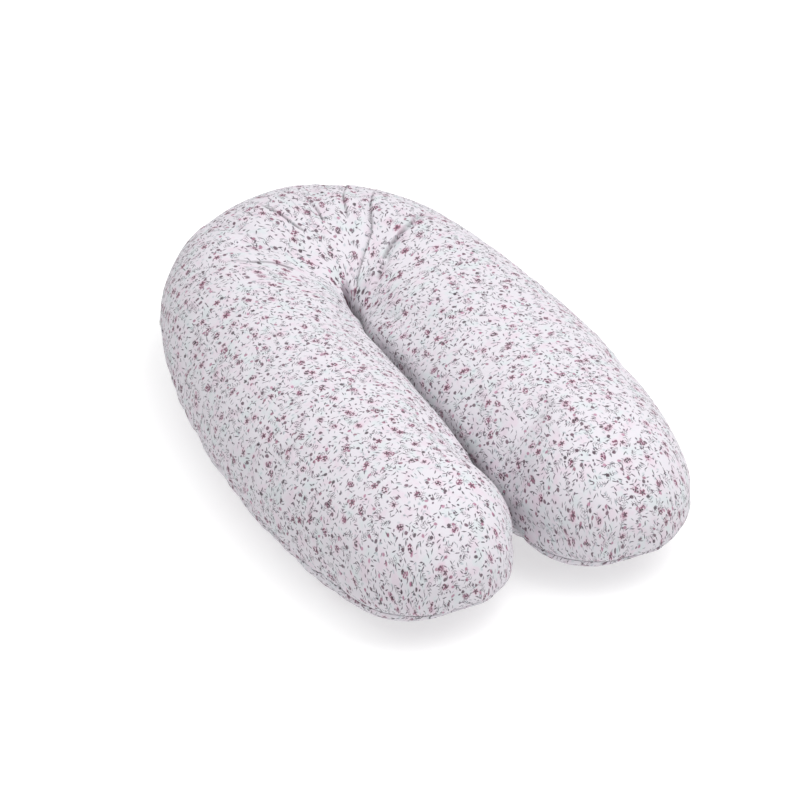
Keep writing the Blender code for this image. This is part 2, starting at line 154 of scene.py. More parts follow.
class Shader:
    """The node tree of one material, with a Principled BSDF."""

    def __init__(self, name: str) -> None:
        self.material = bpy.data.materials.new(name)
        self.material.use_nodes = True
        self.tree = self.material.node_tree
        self.surface = self.tree.nodes["Principled BSDF"]

    def put(self, socket: bpy.types.NodeSocket, value: object) -> None:
        """Links a signal to a socket, or sets the socket's own value.

        Args:
            socket: The input that is filled.
            value: A signal, or a number, vector or colour.
        """
        if isinstance(value, Signal):
            self.tree.links.new(value.socket, socket)
        elif isinstance(value, (tuple, list, Vector)) and socket.type == "RGBA":
            socket.default_value = (*value[:3], 1.0)
        else:
            socket.default_value = value

    def node(self, kind: str, settings: dict | None = None, **values: object) -> bpy.types.Node:
        """Adds a node.

        Args:
            kind: The node's type, without its ShaderNode prefix.
            settings: The node's own settings, which are set first.
            values: What its inputs take, by name with _ for a space, or in1 for an input's place.

        Returns:
            The node.
        """
        made = self.tree.nodes.new("ShaderNode" + kind)
        for key, value in (settings or {}).items():
            setattr(made, key, value)
        for key, value in values.items():
            place = int(key[2:]) if key[:2] == "in" and key[2:].isdigit() else key.replace("_", " ")
            self.put(made.inputs[place], value)
        return made

    def out(self, made: bpy.types.Node, name: str | int = 0) -> Signal:
        """One output of a node, as a signal."""
        return Signal(self, made.outputs[name])

    def maths(self, operation: str, *values: "Signal | float") -> Signal:
        """Adds a Math node on these values."""
        places = {f"in{index}": value for index, value in enumerate(values)}
        return self.out(self.node("Math", {"operation": operation}, **places))

    def vector(self, operation: str, *values: object) -> Signal:
        """Adds a Vector Math node on these vectors."""
        places = {f"in{index}": value for index, value in enumerate(values)}
        return self.out(self.node("VectorMath", {"operation": operation}, **places))

    def scaled(self, vector: Signal, scale: "Signal | float") -> Signal:
        """A vector times a number."""
        made = self.node("VectorMath", {"operation": "SCALE"}, in0=vector, Scale=scale)
        return self.out(made)

    def joined(self, x: "Signal | float", y: "Signal | float") -> Signal:
        """A flat vector from two numbers."""
        return self.out(self.node("CombineXYZ", in0=x, in1=y))

    def parts(self, vector: Signal) -> tuple[Signal, Signal, Signal]:
        """The three numbers of a vector."""
        made = self.node("SeparateXYZ", in0=vector)
        return tuple(self.out(made, index) for index in range(3))

    def mixed(self, share: "Signal | float", low: object, high: object) -> Signal:
        """A colour between two colours."""
        made = self.node("Mix", {"data_type": "RGBA"}, in0=share, in6=low, in7=high)
        return self.out(made, 2)

    def smooth(
        self, value: Signal, low: "float | Signal", high: "float | Signal",
        start: float = 0.0, end: float = 1.0,
    ) -> Signal:
        """Eases from start to end as a value goes from low to high."""
        made = self.node(
            "MapRange", {"interpolation_type": "SMOOTHSTEP"},
            in0=value, in1=low, in2=high, in3=start, in4=end)
        return self.out(made)

    def object_place(self) -> Signal:
        """The place on the piece, in metres."""
        return self.out(self.node("TexCoord"), "Object")

    def map_place(self, name: str) -> Signal:
        """The place on one of the piece's own maps."""
        return self.out(self.node("UVMap", {"uv_map": name}), "UV")

    def clouds(self, place: Signal, scale: float, detail: float = 2.0, rough: float = 0.5) -> Signal:
        """Soft noise from 0 to 1.

        Args:
            place: Where the noise is read.
            scale: Lumps per metre.
            detail: How many finer layers are added.
            rough: How strong each finer layer is.

        Returns:
            The noise.
        """
        return self.out(self.node(
            "TexNoise", Vector=place, Scale=scale, Detail=detail, Roughness=rough))

    def bump(self, height: Signal, depth: float, strength: float = 1.0,
             normal: Signal | None = None) -> Signal:
        """Turns a height from 0 to 1 into a normal.

        Args:
            height: The height.
            depth: What a height of 1 measures, in metres.
            strength: How much of the bump is used.
            normal: A normal that this one is laid over.

        Returns:
            The normal.
        """
        values = {"Height": height, "Distance": depth, "Strength": strength}
        if normal:
            values["Normal"] = normal
        return self.out(self.node("Bump", **values))

    def finish(self, **values: object) -> bpy.types.Material:
        """Fills the Principled BSDF's inputs and returns the material."""
        for key, value in values.items():
            self.put(self.surface.inputs[key.replace("_", " ")], value)
        return self.material


@dataclass(frozen=True)
class Motif:
    """One layer of small marks scattered over the print.

    Attributes:
        spacing: Distance between marks, in metres.
        share: How many of the places hold a mark, from 0 to 1.
        seed: Shift of the scatter, so that layers don't fall together.
        dark: Colour at one end of the marks' range.
        light: Colour at the other end.
        strength: How much of the ground a mark hides.
    """

    spacing: float
    share: float
    seed: float
    dark: tuple[float, float, float]
    light: tuple[float, float, float]
    strength: float = 1.0

    def scatter(self, shader: Shader, place: Signal) -> tuple[Signal, Signal, Signal, Signal]:
        """Finds the nearest mark's own axes.

        Args:
            shader: The tree that takes the nodes.
            place: The place on the cloth, in metres.

        Returns:
            Distances along and across the mark in metres, 1 where the place is used, and the
            mark's random number.
        """
        moved = shader.vector("ADD", place, (self.seed, self.seed * 0.37, 0.0))
        cells = shader.scaled(moved, 1.0 / self.spacing)
        found = shader.node(
            "TexVoronoi", {"voronoi_dimensions": "2D"}, Vector=cells, Scale=1.0, Randomness=0.78)
        away = shader.vector("SUBTRACT", cells, shader.out(found, "Position"))
        chance, turn, shade = shader.parts(shader.out(found, "Color"))
        turned = shader.node(
            "VectorRotate", {"rotation_type": "Z_AXIS"}, Vector=away, Angle=turn * math.tau)
        along, across, _ = shader.parts(shader.scaled(shader.out(turned), self.spacing))
        return along, across, 1.0 - chance.above(self.share), shade

    def laid(self, shader: Shader, ground: Signal, mask: Signal, used: Signal,
             shade: Signal) -> Signal:
        """Prints the layer's marks on the ground."""
        ink = shader.mixed(shade, self.dark, self.light)
        return shader.mixed(mask * used * self.strength, ground, ink)


@dataclass(frozen=True)
class Leaf(Motif):
    """Single leaf strokes, pointed at both ends."""

    half_length: float = 0.0035
    half_width: float = 0.0008

    def draw(self, shader: Shader, place: Signal, ground: Signal) -> Signal:
        """Prints the leaves on a ground colour."""
        along, across, used, shade = self.scatter(shader, place)
        reach = along / self.half_length
        edge = (1.0 - reach * reach) * self.half_width - abs(across)
        mask = shader.smooth(edge, 0.0, self.half_width * 0.5)
        return self.laid(shader, ground, mask, used, shade)


@dataclass(frozen=True)
class Sprig(Motif):
    """Thin stems with pairs of small leaves."""

    half_length: float = 0.0070
    leaf_step: float = 0.0032
    leaf_length: float = 0.0017
    leaf_width: float = 0.0006
    stem_width: float = 0.00022

    def draw(self, shader: Shader, place: Signal, ground: Signal) -> Signal:
        """Prints the sprigs on a ground colour."""
        along, across, used, shade = self.scatter(shader, place)
        bend = along * along * (9.0 / self.half_length * 0.012)
        across = across + bend
        aside = abs(across)
        inside = 1.0 - shader.smooth(abs(along), self.half_length * 0.86, self.half_length)
        stem = 1.0 - shader.smooth(aside, self.stem_width * 0.6, self.stem_width * 1.5)
        step = (along - aside * 0.8).wrapped(self.leaf_step)
        reach = (aside - self.leaf_length) / self.leaf_length
        edge = (1.0 - reach * reach) * self.leaf_width - abs(step)
        leaves = shader.smooth(edge, 0.0, self.leaf_width * 0.5)
        mask = shader.maths("MAXIMUM", stem, leaves) * inside
        return self.laid(shader, ground, mask, used, shade)


@dataclass(frozen=True)
class Dot(Motif):
    """Small round or oval berries, with a soft edge."""

    radius: float = 0.0010
    stretch: float = 1.0
    softness: float = 0.35

    def draw(self, shader: Shader, place: Signal, ground: Signal) -> Signal:
        """Prints the berries on a ground colour."""
        along, across, used, shade = self.scatter(shader, place)
        reach = shader.out(shader.node(
            "VectorMath", {"operation": "LENGTH"},
            in0=shader.joined(along / self.stretch, across)), "Value")
        mask = 1.0 - shader.smooth(
            reach, self.radius * (1 - self.softness), self.radius * (1 + self.softness))
        return self.laid(shader, ground, mask, used, shade)


@dataclass(frozen=True)
class Flower(Motif):
    """Five-petalled flowers with a dark eye and a pale wash behind them."""

    radius: float = 0.0052
    petals: int = 5
    eye: tuple[float, float, float] = (0.035, 0.010, 0.022)
    wash: tuple[float, float, float] = (0.66, 0.46, 0.55)

    def draw(self, shader: Shader, place: Signal, ground: Signal) -> Signal:
        """Prints the flowers on a ground colour."""
        along, across, used, shade = self.scatter(shader, place)
        reach = shader.out(shader.node(
            "VectorMath", {"operation": "LENGTH"}, in0=shader.joined(along, across)), "Value")
        halo = 1.0 - shader.smooth(reach, self.radius * 0.5, self.radius * 1.6)
        ground = shader.mixed(halo * used * 0.42, ground, self.wash)
        along = along * (0.8 + 0.5 * shade) + self.radius * 0.15
        angle = shader.maths("ARCTAN2", across, along)
        lobe = abs(shader.maths("COSINE", angle * (self.petals / 2)))
        edge = shader.maths("POWER", lobe, 0.8) * (0.66 * self.radius) + 0.26 * self.radius
        edge = edge * (0.8 + 0.4 * shade)
        mask = shader.smooth(edge - reach, 0.0, self.radius * 0.14)
        heart = 1.0 - shader.smooth(reach, self.radius * 0.12, self.radius * 0.62)
        ink = shader.mixed(heart, shader.mixed(shade, self.dark, self.light), self.eye)
        return shader.mixed(mask * used * self.strength, ground, ink)


@dataclass(frozen=True)
class Cluster(Motif):
    """Blotchy blossoms, each a handful of petals and berries that run together."""

    radius: float = 0.0046
    petal_spacing: float = 0.0025
    petal_radius: float = 0.00125
    wash: tuple[float, float, float] = (0.62, 0.44, 0.53)

    def draw(self, shader: Shader, place: Signal, ground: Signal) -> Signal:
        """Prints the blossoms on a ground colour."""
        along, across, used, shade = self.scatter(shader, place)
        reach = shader.out(shader.node(
            "VectorMath", {"operation": "LENGTH"},
            in0=shader.joined(along, across * (1.0 + 0.7 * shade))), "Value")
        halo = 1.0 - shader.smooth(reach, self.radius * 0.7, self.radius * 1.7)
        ground = shader.mixed(halo * used * 0.42, ground, self.wash)
        cells = shader.scaled(place, 1.0 / self.petal_spacing)
        petal = shader.node(
            "TexVoronoi", {"voronoi_dimensions": "2D"}, Vector=cells, Scale=1.0, Randomness=0.8)
        size = self.petal_radius / self.petal_spacing
        inside = 1.0 - shader.smooth(shader.out(petal, "Distance"), size * 0.75, size * 1.25)
        own = self.radius * (0.75 + 0.5 * shade)
        near = 1.0 - shader.smooth(reach, own * 0.80, own * 1.05)
        hue, _, _ = shader.parts(shader.out(petal, "Color"))
        ink = shader.mixed(shader.smooth(hue, 0.25, 0.8), self.dark, self.light)
        return shader.mixed(inside * near * used * self.strength, ground, ink)


@dataclass(frozen=True)
class PrintedCotton:
    """Fine cotton with a small tossed floral print.

    Attributes:
        ground: The cloth's own colour.
        blush: A faint warm tint in the ground.
        mint: A faint cool tint in the ground.
        crease: Painted shade for the cloth deep in a fold and in the slit between the arms.
        thread: Distance between threads, in metres.
        print_map: The map, in metres, that the print lies on.
        print_scale: Size of the print's repeat, as a share of the layers' sizes.
    """

    ground: tuple[float, float, float] = (0.632, 0.604, 0.648)
    blush: tuple[float, float, float] = (0.632, 0.556, 0.618)
    mint: tuple[float, float, float] = (0.570, 0.612, 0.628)
    crease: tuple[float, float, float] = (0.10, 0.085, 0.095)
    thread: float = 0.00046
    print_map: str = "Print"
    print_scale: float = 1.0
    layers: tuple[Motif, ...] = (
        Dot(0.0110, 0.40, 4.3, (0.22, 0.30, 0.33), (0.38, 0.48, 0.49), 0.50, 0.0014, 1.4, 0.5),
        Leaf(0.0070, 0.66, 1.9, (0.050, 0.050, 0.065), (0.24, 0.27, 0.29), 0.88, 0.0029, 0.00066),
        Leaf(0.0090, 0.68, 7.7, (0.020, 0.012, 0.020), (0.09, 0.07, 0.09), 0.94, 0.0038, 0.00088),
        Sprig(0.0175, 0.62, 2.6, (0.035, 0.022, 0.032), (0.14, 0.13, 0.15), 0.90),
        Dot(0.0094, 0.40, 9.1, (0.030, 0.014, 0.026), (0.12, 0.07, 0.11), 0.92, 0.00110, 1.4, 0.3),
        Dot(0.0215, 0.62, 8.2, (0.025, 0.010, 0.018), (0.13, 0.06, 0.09), 0.90, 0.00205, 1.2, 0.25),
        Dot(0.0190, 0.36, 5.9, (0.17, 0.03, 0.07), (0.40, 0.16, 0.26), 0.80, 0.00175, 1.3, 0.3),
        Cluster(0.0290, 0.56, 6.6, (0.022, 0.006, 0.012), (0.18, 0.04, 0.09), 0.95, 0.0050),
        Flower(0.0330, 0.42, 3.4, (0.08, 0.012, 0.034), (0.20, 0.04, 0.09), 0.92, 0.0046),
    )

    def material(self) -> bpy.types.Material:
        """Builds the finish."""
        shader = Shader("printed_cotton")
        place = shader.map_place(self.print_map)
        drift = shader.clouds(place, 55.0, 2.0)
        tint = shader.mixed(shader.smooth(drift, 0.50, 0.66), self.ground, self.blush)
        cool = shader.clouds(shader.vector("ADD", place, (3.1, 8.2, 0.0)), 48.0, 2.0)
        colour = shader.mixed(shader.smooth(cool, 0.52, 0.68) * 0.8, tint, self.mint)
        wobble = shader.node("TexNoise", Vector=place, Scale=420.0, Detail=1.0)
        shift = shader.vector("SUBTRACT", shader.out(wobble, "Color"), (0.5, 0.5, 0.5))
        drawn = shader.scaled(
            shader.vector("ADD", place, shader.scaled(shift, 0.0011)), 1.0 / self.print_scale)
        for layer in self.layers:
            colour = layer.draw(shader, drawn, colour)
        height, thread = woven(shader, place, self.thread, Weave.PLAIN)
        faded = shader.clouds(place, 9.0, 3.0)
        colour = shader.mixed(shader.smooth(faded, 0.3, 0.7) * 0.07, colour, self.ground)
        colour = shader.mixed((1.0 - thread) * 0.08, colour, (0.36, 0.33, 0.37))
        rumple = shader.clouds(place, 150.0, 3.0, 0.55)
        # Painted shade: the cloth darkens towards the crease shade colour deep in the pleats and in the
        # slit, as the Fold attribute gives.
        fold = shader.out(shader.node("Attribute", {"attribute_name": "Fold"}), "Fac")
        colour = shader.mixed(shader.smooth(fold, 0.12, 0.90) * 0.76, colour, self.crease)
        normal = shader.bump(rumple, 0.0009, 0.35)
        normal = shader.bump(height, 0.00012, 0.45, normal)
        rough = 0.80 + 0.14 * shader.clouds(place, 260.0, 2.0)
        return shader.finish(
            Base_Color=colour, Roughness=rough, Normal=normal, Specular_IOR_Level=0.25,
            Sheen_Weight=0.12, Sheen_Roughness=0.6)


def woven(shader: Shader, place: Signal, pitch: float, weave: Weave) -> tuple[Signal, Signal]:
    """Draws the threads of a woven cloth.

    Args:
        shader: The tree that takes the nodes.
        place: The place on the cloth, in metres.
        pitch: Distance between threads, in metres.
        weave: How the threads cross.

    Returns:
        The threads' height from 0 to 1, and the same with its gaps sharpened.
    """
    x, y, _ = shader.parts(place)
    warp = abs(shader.maths("COSINE", x * (math.pi / pitch)))
    weft = abs(shader.maths("COSINE", y * (math.pi / pitch)))
    if weave is Weave.PLAIN:
        over = shader.maths("SINE", x * (math.pi / pitch)) * shader.maths(
            "SINE", y * (math.pi / pitch))
        chosen = over.above(0.0)
    else:
        chosen = shader.maths("SINE", (x + y) * (math.pi / pitch / 2)).above(0.0)
    height = warp * chosen + weft * (1.0 - chosen)
    return height, shader.smooth(height, 0.0, 0.55)


@dataclass(frozen=True)
class PlainCloth:
    """An undyed or dyed cloth in one colour.

    Attributes:
        name: The material's name.
        colour: The cloth's colour.
        shadow: The colour between its threads.
        thread: Distance between threads, in metres.
        weave: How the threads cross.
        rough: The threads' roughness.
        sheen: How much the fibres catch the light at an edge.
        cloth_map: The piece's own map, in metres.
    """

    name: str
    colour: tuple[float, float, float]
    shadow: tuple[float, float, float]
    thread: float = 0.0006
    weave: Weave = Weave.PLAIN
    rough: float = 0.85
    sheen: float = 0.1
    cloth_map: str = "Cloth"

    def material(self) -> bpy.types.Material:
        """Builds the finish."""
        shader = Shader(self.name)
        place = shader.map_place(self.cloth_map)
        height, thread = woven(shader, place, self.thread, self.weave)
        drift = shader.clouds(place, 60.0, 3.0)
        colour = shader.mixed(shader.smooth(drift, 0.3, 0.7) * 0.25, self.colour, self.shadow)
        colour = shader.mixed((1.0 - thread) * 0.5, colour, self.shadow)
        normal = shader.bump(height, self.thread * 0.35, 0.7)
        rough = self.rough + 0.1 * (drift - 0.5)
        return shader.finish(
            Base_Color=colour, Roughness=rough, Normal=normal, Specular_IOR_Level=0.3,
            Sheen_Weight=self.sheen)


@dataclass(frozen=True)
class FibreFill:
    """Loose white polyester fibre."""

    colour: tuple[float, float, float] = (0.88, 0.88, 0.86)
    shadow: tuple[float, float, float] = (0.62, 0.62, 0.60)

    def material(self) -> bpy.types.Material:
        """Builds the finish."""
        shader = Shader("fibre_filling")
        place = shader.object_place()
        strands = shader.clouds(place, 380.0, 6.0, 0.75)
        tufts = shader.clouds(place, 45.0, 3.0)
        colour = shader.mixed(shader.smooth(strands, 0.35, 0.62), self.shadow, self.colour)
        normal = shader.bump(tufts * 0.7 + strands * 0.3, 0.006, 0.8)
        return shader.finish(
            Base_Color=colour, Roughness=0.9 + 0.1 * tufts, Normal=normal, Sheen_Weight=0.3)


@dataclass(frozen=True)
class Nylon:
    """Moulded or drawn nylon, slightly see-through and glossy."""

    colour: tuple[float, float, float] = (0.80, 0.78, 0.82)
    worn: tuple[float, float, float] = (0.66, 0.64, 0.68)

    def material(self) -> bpy.types.Material:
        """Builds the finish."""
        shader = Shader("zip_nylon")
        place = shader.object_place()
        drift = shader.clouds(place, 90.0, 3.0)
        grain = shader.clouds(place, 2600.0, 2.0)
        colour = shader.mixed(shader.smooth(drift, 0.35, 0.75), self.colour, self.worn)
        return shader.finish(
            Base_Color=colour, Roughness=0.30 + 0.18 * drift,
            Normal=shader.bump(grain, 0.00002, 0.4), Specular_IOR_Level=0.5)


@dataclass(frozen=True)
class SatinNickel:
    """Plated metal with fine rubbed scratches."""

    colour: tuple[float, float, float] = (0.66, 0.65, 0.64)
    worn: tuple[float, float, float] = (0.50, 0.49, 0.48)

    def material(self) -> bpy.types.Material:
        """Builds the finish."""
        shader = Shader("zip_metal")
        place = shader.object_place()
        drawn = shader.vector("MULTIPLY", place, (1.0, 1.0, 14.0))
        scratches = shader.clouds(drawn, 900.0, 4.0, 0.65)
        patches = shader.clouds(place, 320.0, 3.0)
        colour = shader.mixed(shader.smooth(patches, 0.4, 0.75), self.colour, self.worn)
        rough = 0.22 + 0.20 * scratches + 0.10 * patches
        return shader.finish(
            Base_Color=colour, Metallic=1.0, Roughness=rough,
            Normal=shader.bump(scratches, 0.00002, 0.5))


# ---------------------------------------------------------------- making pieces


def add_object(name: str, shape: bmesh.types.BMesh, finish: bpy.types.Material) -> bpy.types.Object:
    """Turns a bmesh into a smooth object at the origin.

    Args:
        name: The piece's name.
        shape: Its mesh, which is freed.
        finish: Its material.

    Returns:
        The object.
    """
    mesh = bpy.data.meshes.new(name)
    shape.to_mesh(mesh)
    shape.free()
    mesh.shade_smooth()
    mesh.materials.append(finish)
    item = bpy.data.objects.new(name, mesh)
    bpy.context.scene.collection.objects.link(item)
    return item


def apply_modifiers(item: bpy.types.Object) -> None:
    """Replaces an object's mesh with what its modifiers make of it."""
    graph = bpy.context.evaluated_depsgraph_get()
    made = bpy.data.meshes.new_from_object(item.evaluated_get(graph))
    old = item.data
    item.modifiers.clear()
    item.data = made
    made.name = item.name
    bpy.data.meshes.remove(old)


def add_grid(shape: bmesh.types.BMesh, places: np.ndarray) -> None:
    """Adds a grid of faces whose corners stand at the given rows of places."""
    rows, columns = places.shape[:2]
    made = bmesh.ops.create_grid(
        shape, x_segments=columns - 1, y_segments=rows - 1, size=0.5)["verts"]
    for vert, place in zip(made, places.reshape(-1, 3)):
        vert.co = place


def smoothstep(share: np.ndarray | float) -> np.ndarray | float:
    """Eases a share, which is first held from 0 to 1."""
    share = np.clip(share, 0.0, 1.0)
    return share * share * (3.0 - 2.0 * share)


def lumps(points: np.ndarray, size: float, seed: float) -> np.ndarray:
    """Soft noise at each point.

    Args:
        points: Places, with x, y and z last.
        size: The size of a lump, in metres.
        seed: Shift of the noise.

    Returns:
        Noise from about -1 to 1, one number for each point.
    """
    flat = points.reshape(-1, 3) / size + seed
    found = np.fromiter((noise.noise(row) for row in flat), float, len(flat))
    return found.reshape(points.shape[:-1])


@dataclass(frozen=True)
class Stations:
    """Where the pillow's cross-sections stand, from the left tip round to the right tip."""

    inner: np.ndarray
    outer: np.ndarray
    above: np.ndarray
    below: np.ndarray
    crest: np.ndarray
    along: np.ndarray
    polar: np.ndarray


@dataclass(frozen=True)
class PillowShape:
    """The pillow's outline and cross-section, in metres, as in the solid model."""

    length: float = 0.800
    width: float = 0.512
    height: float = 0.194
    crown_radius: float = 0.216
    tip_radius: float = 0.112
    slit_width: float = 0.012
    crook_radius: float = 0.016
    crook_taper: float = 0.080
    arm_drop: float = 0.008
    seam_height: float = 0.080
    flat_share: float = 0.40
    outer_power: float = 2.3
    inner_power: float = 3.0
    top_rounding: float = 0.56
    under_power: float = 2.0
    top_tip_rounding: float = 0.030
    under_tip_rounding: float = 0.090

    @cached_property
    def crown_y(self) -> float:
        """Where the crown's arc is centred, on x = 0."""
        return self.length / 2 - self.crown_radius

    @cached_property
    def tip_x(self) -> float:
        """The middle of the right arm's round tip."""
        return self.slit_width / 2 + self.tip_radius

    @cached_property
    def tip_y(self) -> float:
        """Where the arms' round tips start."""
        return -self.length / 2 + self.tip_radius

    @cached_property
    def flank(self) -> tuple[float, float, float]:
        """Radius and centre of the long arc that joins the crown to a tip."""
        half = self.width / 2
        low, high = half, 200 * self.width
        for _ in range(80):
            radius = (low + high) / 2
            reach = [math.sqrt(max((half - x - r) * (2 * radius - r - half + x), 0))
                     for x, r in ((0.0, self.crown_radius), (self.tip_x, self.tip_radius))]
            low, high = (radius, high) if sum(reach) < self.crown_y - self.tip_y else (low, radius)
        return radius, half - radius, self.crown_y - reach[0]

    def crown_reach(self, angle: np.ndarray, inset: float) -> np.ndarray:
        """Distance from the crown's centre to the outline, at angles from +X."""
        radius, x, y = self.flank
        side = np.minimum(angle, math.pi - angle)
        join = math.atan2(self.crown_y - y, -x)
        toward = np.cos(side) * x + np.sin(side) * (y - self.crown_y)
        square = x * x + (y - self.crown_y) ** 2
        flank = toward + np.sqrt((radius - inset) ** 2 - square + toward ** 2)
        return np.where(side >= join, self.crown_radius - inset, flank)

    def outline_at(self, angle: float) -> tuple[tuple[float, float, float], float]:
        """The seam's place at an angle on the crown, and the direction that it faces there."""
        reach = float(self.crown_reach(np.array(angle), 0.0))
        x, y = reach * math.cos(angle), self.crown_y + reach * math.sin(angle)
        _, flank_x, flank_y = self.flank
        return (x, y, self.seam_height), math.atan2(y - flank_y, x - flank_x)

    def outer_x(self, y: np.ndarray, inset: float) -> np.ndarray:
        """Outer edge of the right arm."""
        radius, x, flank_y = self.flank
        tip = self.tip_radius - inset
        join = math.atan2(self.tip_y - flank_y, self.tip_x - x)
        cap = self.tip_x + np.sqrt(np.maximum(tip ** 2 - (y - self.tip_y) ** 2, 0))
        side = x + np.sqrt((radius - inset) ** 2 - (y - flank_y) ** 2)
        return np.where(y < self.tip_y + tip * math.sin(join), cap, side)

    def inner_x(self, y: np.ndarray, inset: float) -> np.ndarray:
        """Inner edge of the right arm: the crook, the slit and the tip's arc."""
        cap = self.tip_x - np.sqrt(
            np.maximum((self.tip_radius - inset) ** 2 - (y - self.tip_y) ** 2, 0))
        share = smoothstep(1 - (self.crown_y - y) / self.crook_taper)
        side = inset + self.slit_width / 2 * (1 - share) + self.crook_radius * share
        return np.where(y < self.tip_y, cap, side)

    def fullness(self, y: np.ndarray, inset: float, rounding: float) -> np.ndarray:
        """How full the arm is: 1 along its length, falling to 0 at the tip."""
        start = self.tip_y + rounding
        end = self.tip_y - self.tip_radius + inset
        return np.sqrt(np.clip(1 - (np.maximum(start - y, 0) / (start - end)) ** 2, 0, 1))

    def stations(self, inset: float, steps: tuple[int, int, int]) -> Stations:
        """Lays cross-sections along the whole pillow.

        Args:
            inset: Distance inside the outline.
            steps: How many fall on half the crown, on an arm and on its tip.

        Returns:
            The stations, from the left tip to the right one.
        """
        crown, arm, tip = steps
        angle = np.linspace(math.pi / 2, 0, crown + 1)
        spoke = np.stack([np.cos(angle), np.sin(angle)], 1)
        centre = np.array([0, self.crown_y])
        y = np.concatenate([
            np.linspace(self.crown_y, self.tip_y, arm + 1)[1:],
            self.tip_y - (self.tip_radius - inset)
            * np.sin(np.linspace(0, math.pi / 2, tip + 1)[1:])])
        inner = np.concatenate([
            centre + spoke * (self.crook_radius + inset),
            np.stack([self.inner_x(y, inset), y], 1)])
        outer = np.concatenate([
            centre + spoke * self.crown_reach(angle, inset)[:, None],
            np.stack([self.outer_x(y, inset), y], 1)])
        whole = np.concatenate([np.full(crown + 1, self.crown_y), y])
        above = self.fullness(whole, inset, self.top_tip_rounding)
        below = self.fullness(whole, inset, self.under_tip_rounding)
        crest = self.height - self.arm_drop * np.concatenate([np.cos(angle) ** 2, y * 0 + 1])
        along = np.concatenate([[0], np.cumsum(np.linalg.norm(np.diff(outer, axis=0), axis=1))])
        polar = np.concatenate([angle, np.full(len(y), -1.0)])
        flip = np.array([-1, 1])

        def both(half: np.ndarray, mirror: np.ndarray | float = 1) -> np.ndarray:
            return np.concatenate([half[:0:-1] * mirror, half])

        return Stations(
            both(inner, flip), both(outer, flip), both(above), both(below), both(crest),
            both(along, -1), both(polar))

    def section(self, at: Stations, across: np.ndarray, panel: Panel, inset: float) -> np.ndarray:
        """Places a panel's points.

        Args:
            at: The stations.
            across: Shares of the half width, from -1 at the inner edge to 1 at the outer one.
            panel: The panel above or below the seam.
            inset: Distance inside the outline.

        Returns:
            Points, as stations by shares by x, y and z.
        """
        share = (across[None, :, None] + 1) / 2
        plan = at.inner[:, None] * (1 - share) + at.outer[:, None] * share
        if panel is Panel.TOP:
            power = np.where(across < 0, self.inner_power, self.outer_power)
            rise = (1 - np.abs(across) ** power) ** self.top_rounding
            lift = at.above * (at.crest - inset - self.seam_height)
        else:
            edge = np.maximum(np.abs(across) - self.flat_share, 0) / (1 - self.flat_share)
            rise = np.sqrt(1 - edge ** self.under_power)
            lift = -at.below * (self.seam_height - inset)
        height = self.seam_height + lift[:, None] * rise[None, :]
        return np.concatenate([plan, height[..., None]], 2)


def bend_with_arm(item: bpy.types.Object) -> None:
    """Bakes a soft piece's placement into its mesh."""
    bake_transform(item)


def report(item: bpy.types.Object) -> None:
    """Logs a finished piece."""
    LOG.info("%s: %d faces", item.name, len(item.data.polygons))


# ---------------------------------------------------------------- cover


@dataclass(frozen=True)
class Pleat:
    """A fold that runs over the crown from the crook, as its two ends about the crown's centre.

    Attributes:
        start: Angle in degrees and radius of the inner end.
        end: Angle in degrees and radius of the outer end.
        depth: How far the fold dips, in metres.
        width: Half width of the dip.
        lap: Which side of the fold stands proud, 1 or -1.
        bow: How far the fold bows aside, as a share of its length.
    """

    start: tuple[float, float]
    end: tuple[float, float]
    depth: float = 0.0045
    width: float = 0.0026
    lap: int = 1
    bow: float = 0.0

    def ends(self, centre: np.ndarray) -> list[np.ndarray]:
        """Finds both ends in plan.

        Args:
            centre: The crown's centre.

        Returns:
            The inner end and the outer one.
        """
        return [centre + radius * np.array([math.cos(math.radians(turn)),
                                            math.sin(math.radians(turn))])
                for turn, radius in (self.start, self.end)]

    def profile(self, plan: np.ndarray, centre: np.ndarray) -> tuple[np.ndarray, np.ndarray]:
        """Works out the fold over points in plan.

        Args:
            plan: Points, with x and y last.
            centre: The crown's centre.

        Returns:
            How far each point moves out, and how deep in the fold it lies from 0 to 1, which sets the
            painted shade there.
        """
        near, far = self.ends(centre)
        run = far - near
        reach = np.linalg.norm(run)
        run = run / reach
        away = plan - near
        share = away @ run / reach
        wander = self.bow * 4 * share * (1 - share) + 0.012 * np.sin(share * 11 + self.start[0])
        aside = (away @ np.array([-run[1], run[0]]) - wander * reach) * self.lap
        fade = smoothstep(share / 0.12) * smoothstep((1 - share) / 0.5)
        fade = np.where((share > 0) & (share < 1), fade, 0)
        proud = 0.45 * np.exp(-np.maximum(aside, 0) / (5 * self.width))
        sunk = np.exp(-np.maximum(-aside, 0) / (1.6 * self.width))
        over = smoothstep(aside / 0.0014 + 0.5)
        mask = np.exp(-np.abs(aside + 0.0005) / 0.0010)
        return fade * self.depth * (over * proud - (1 - over) * sunk), smoothstep(fade * 2) * mask


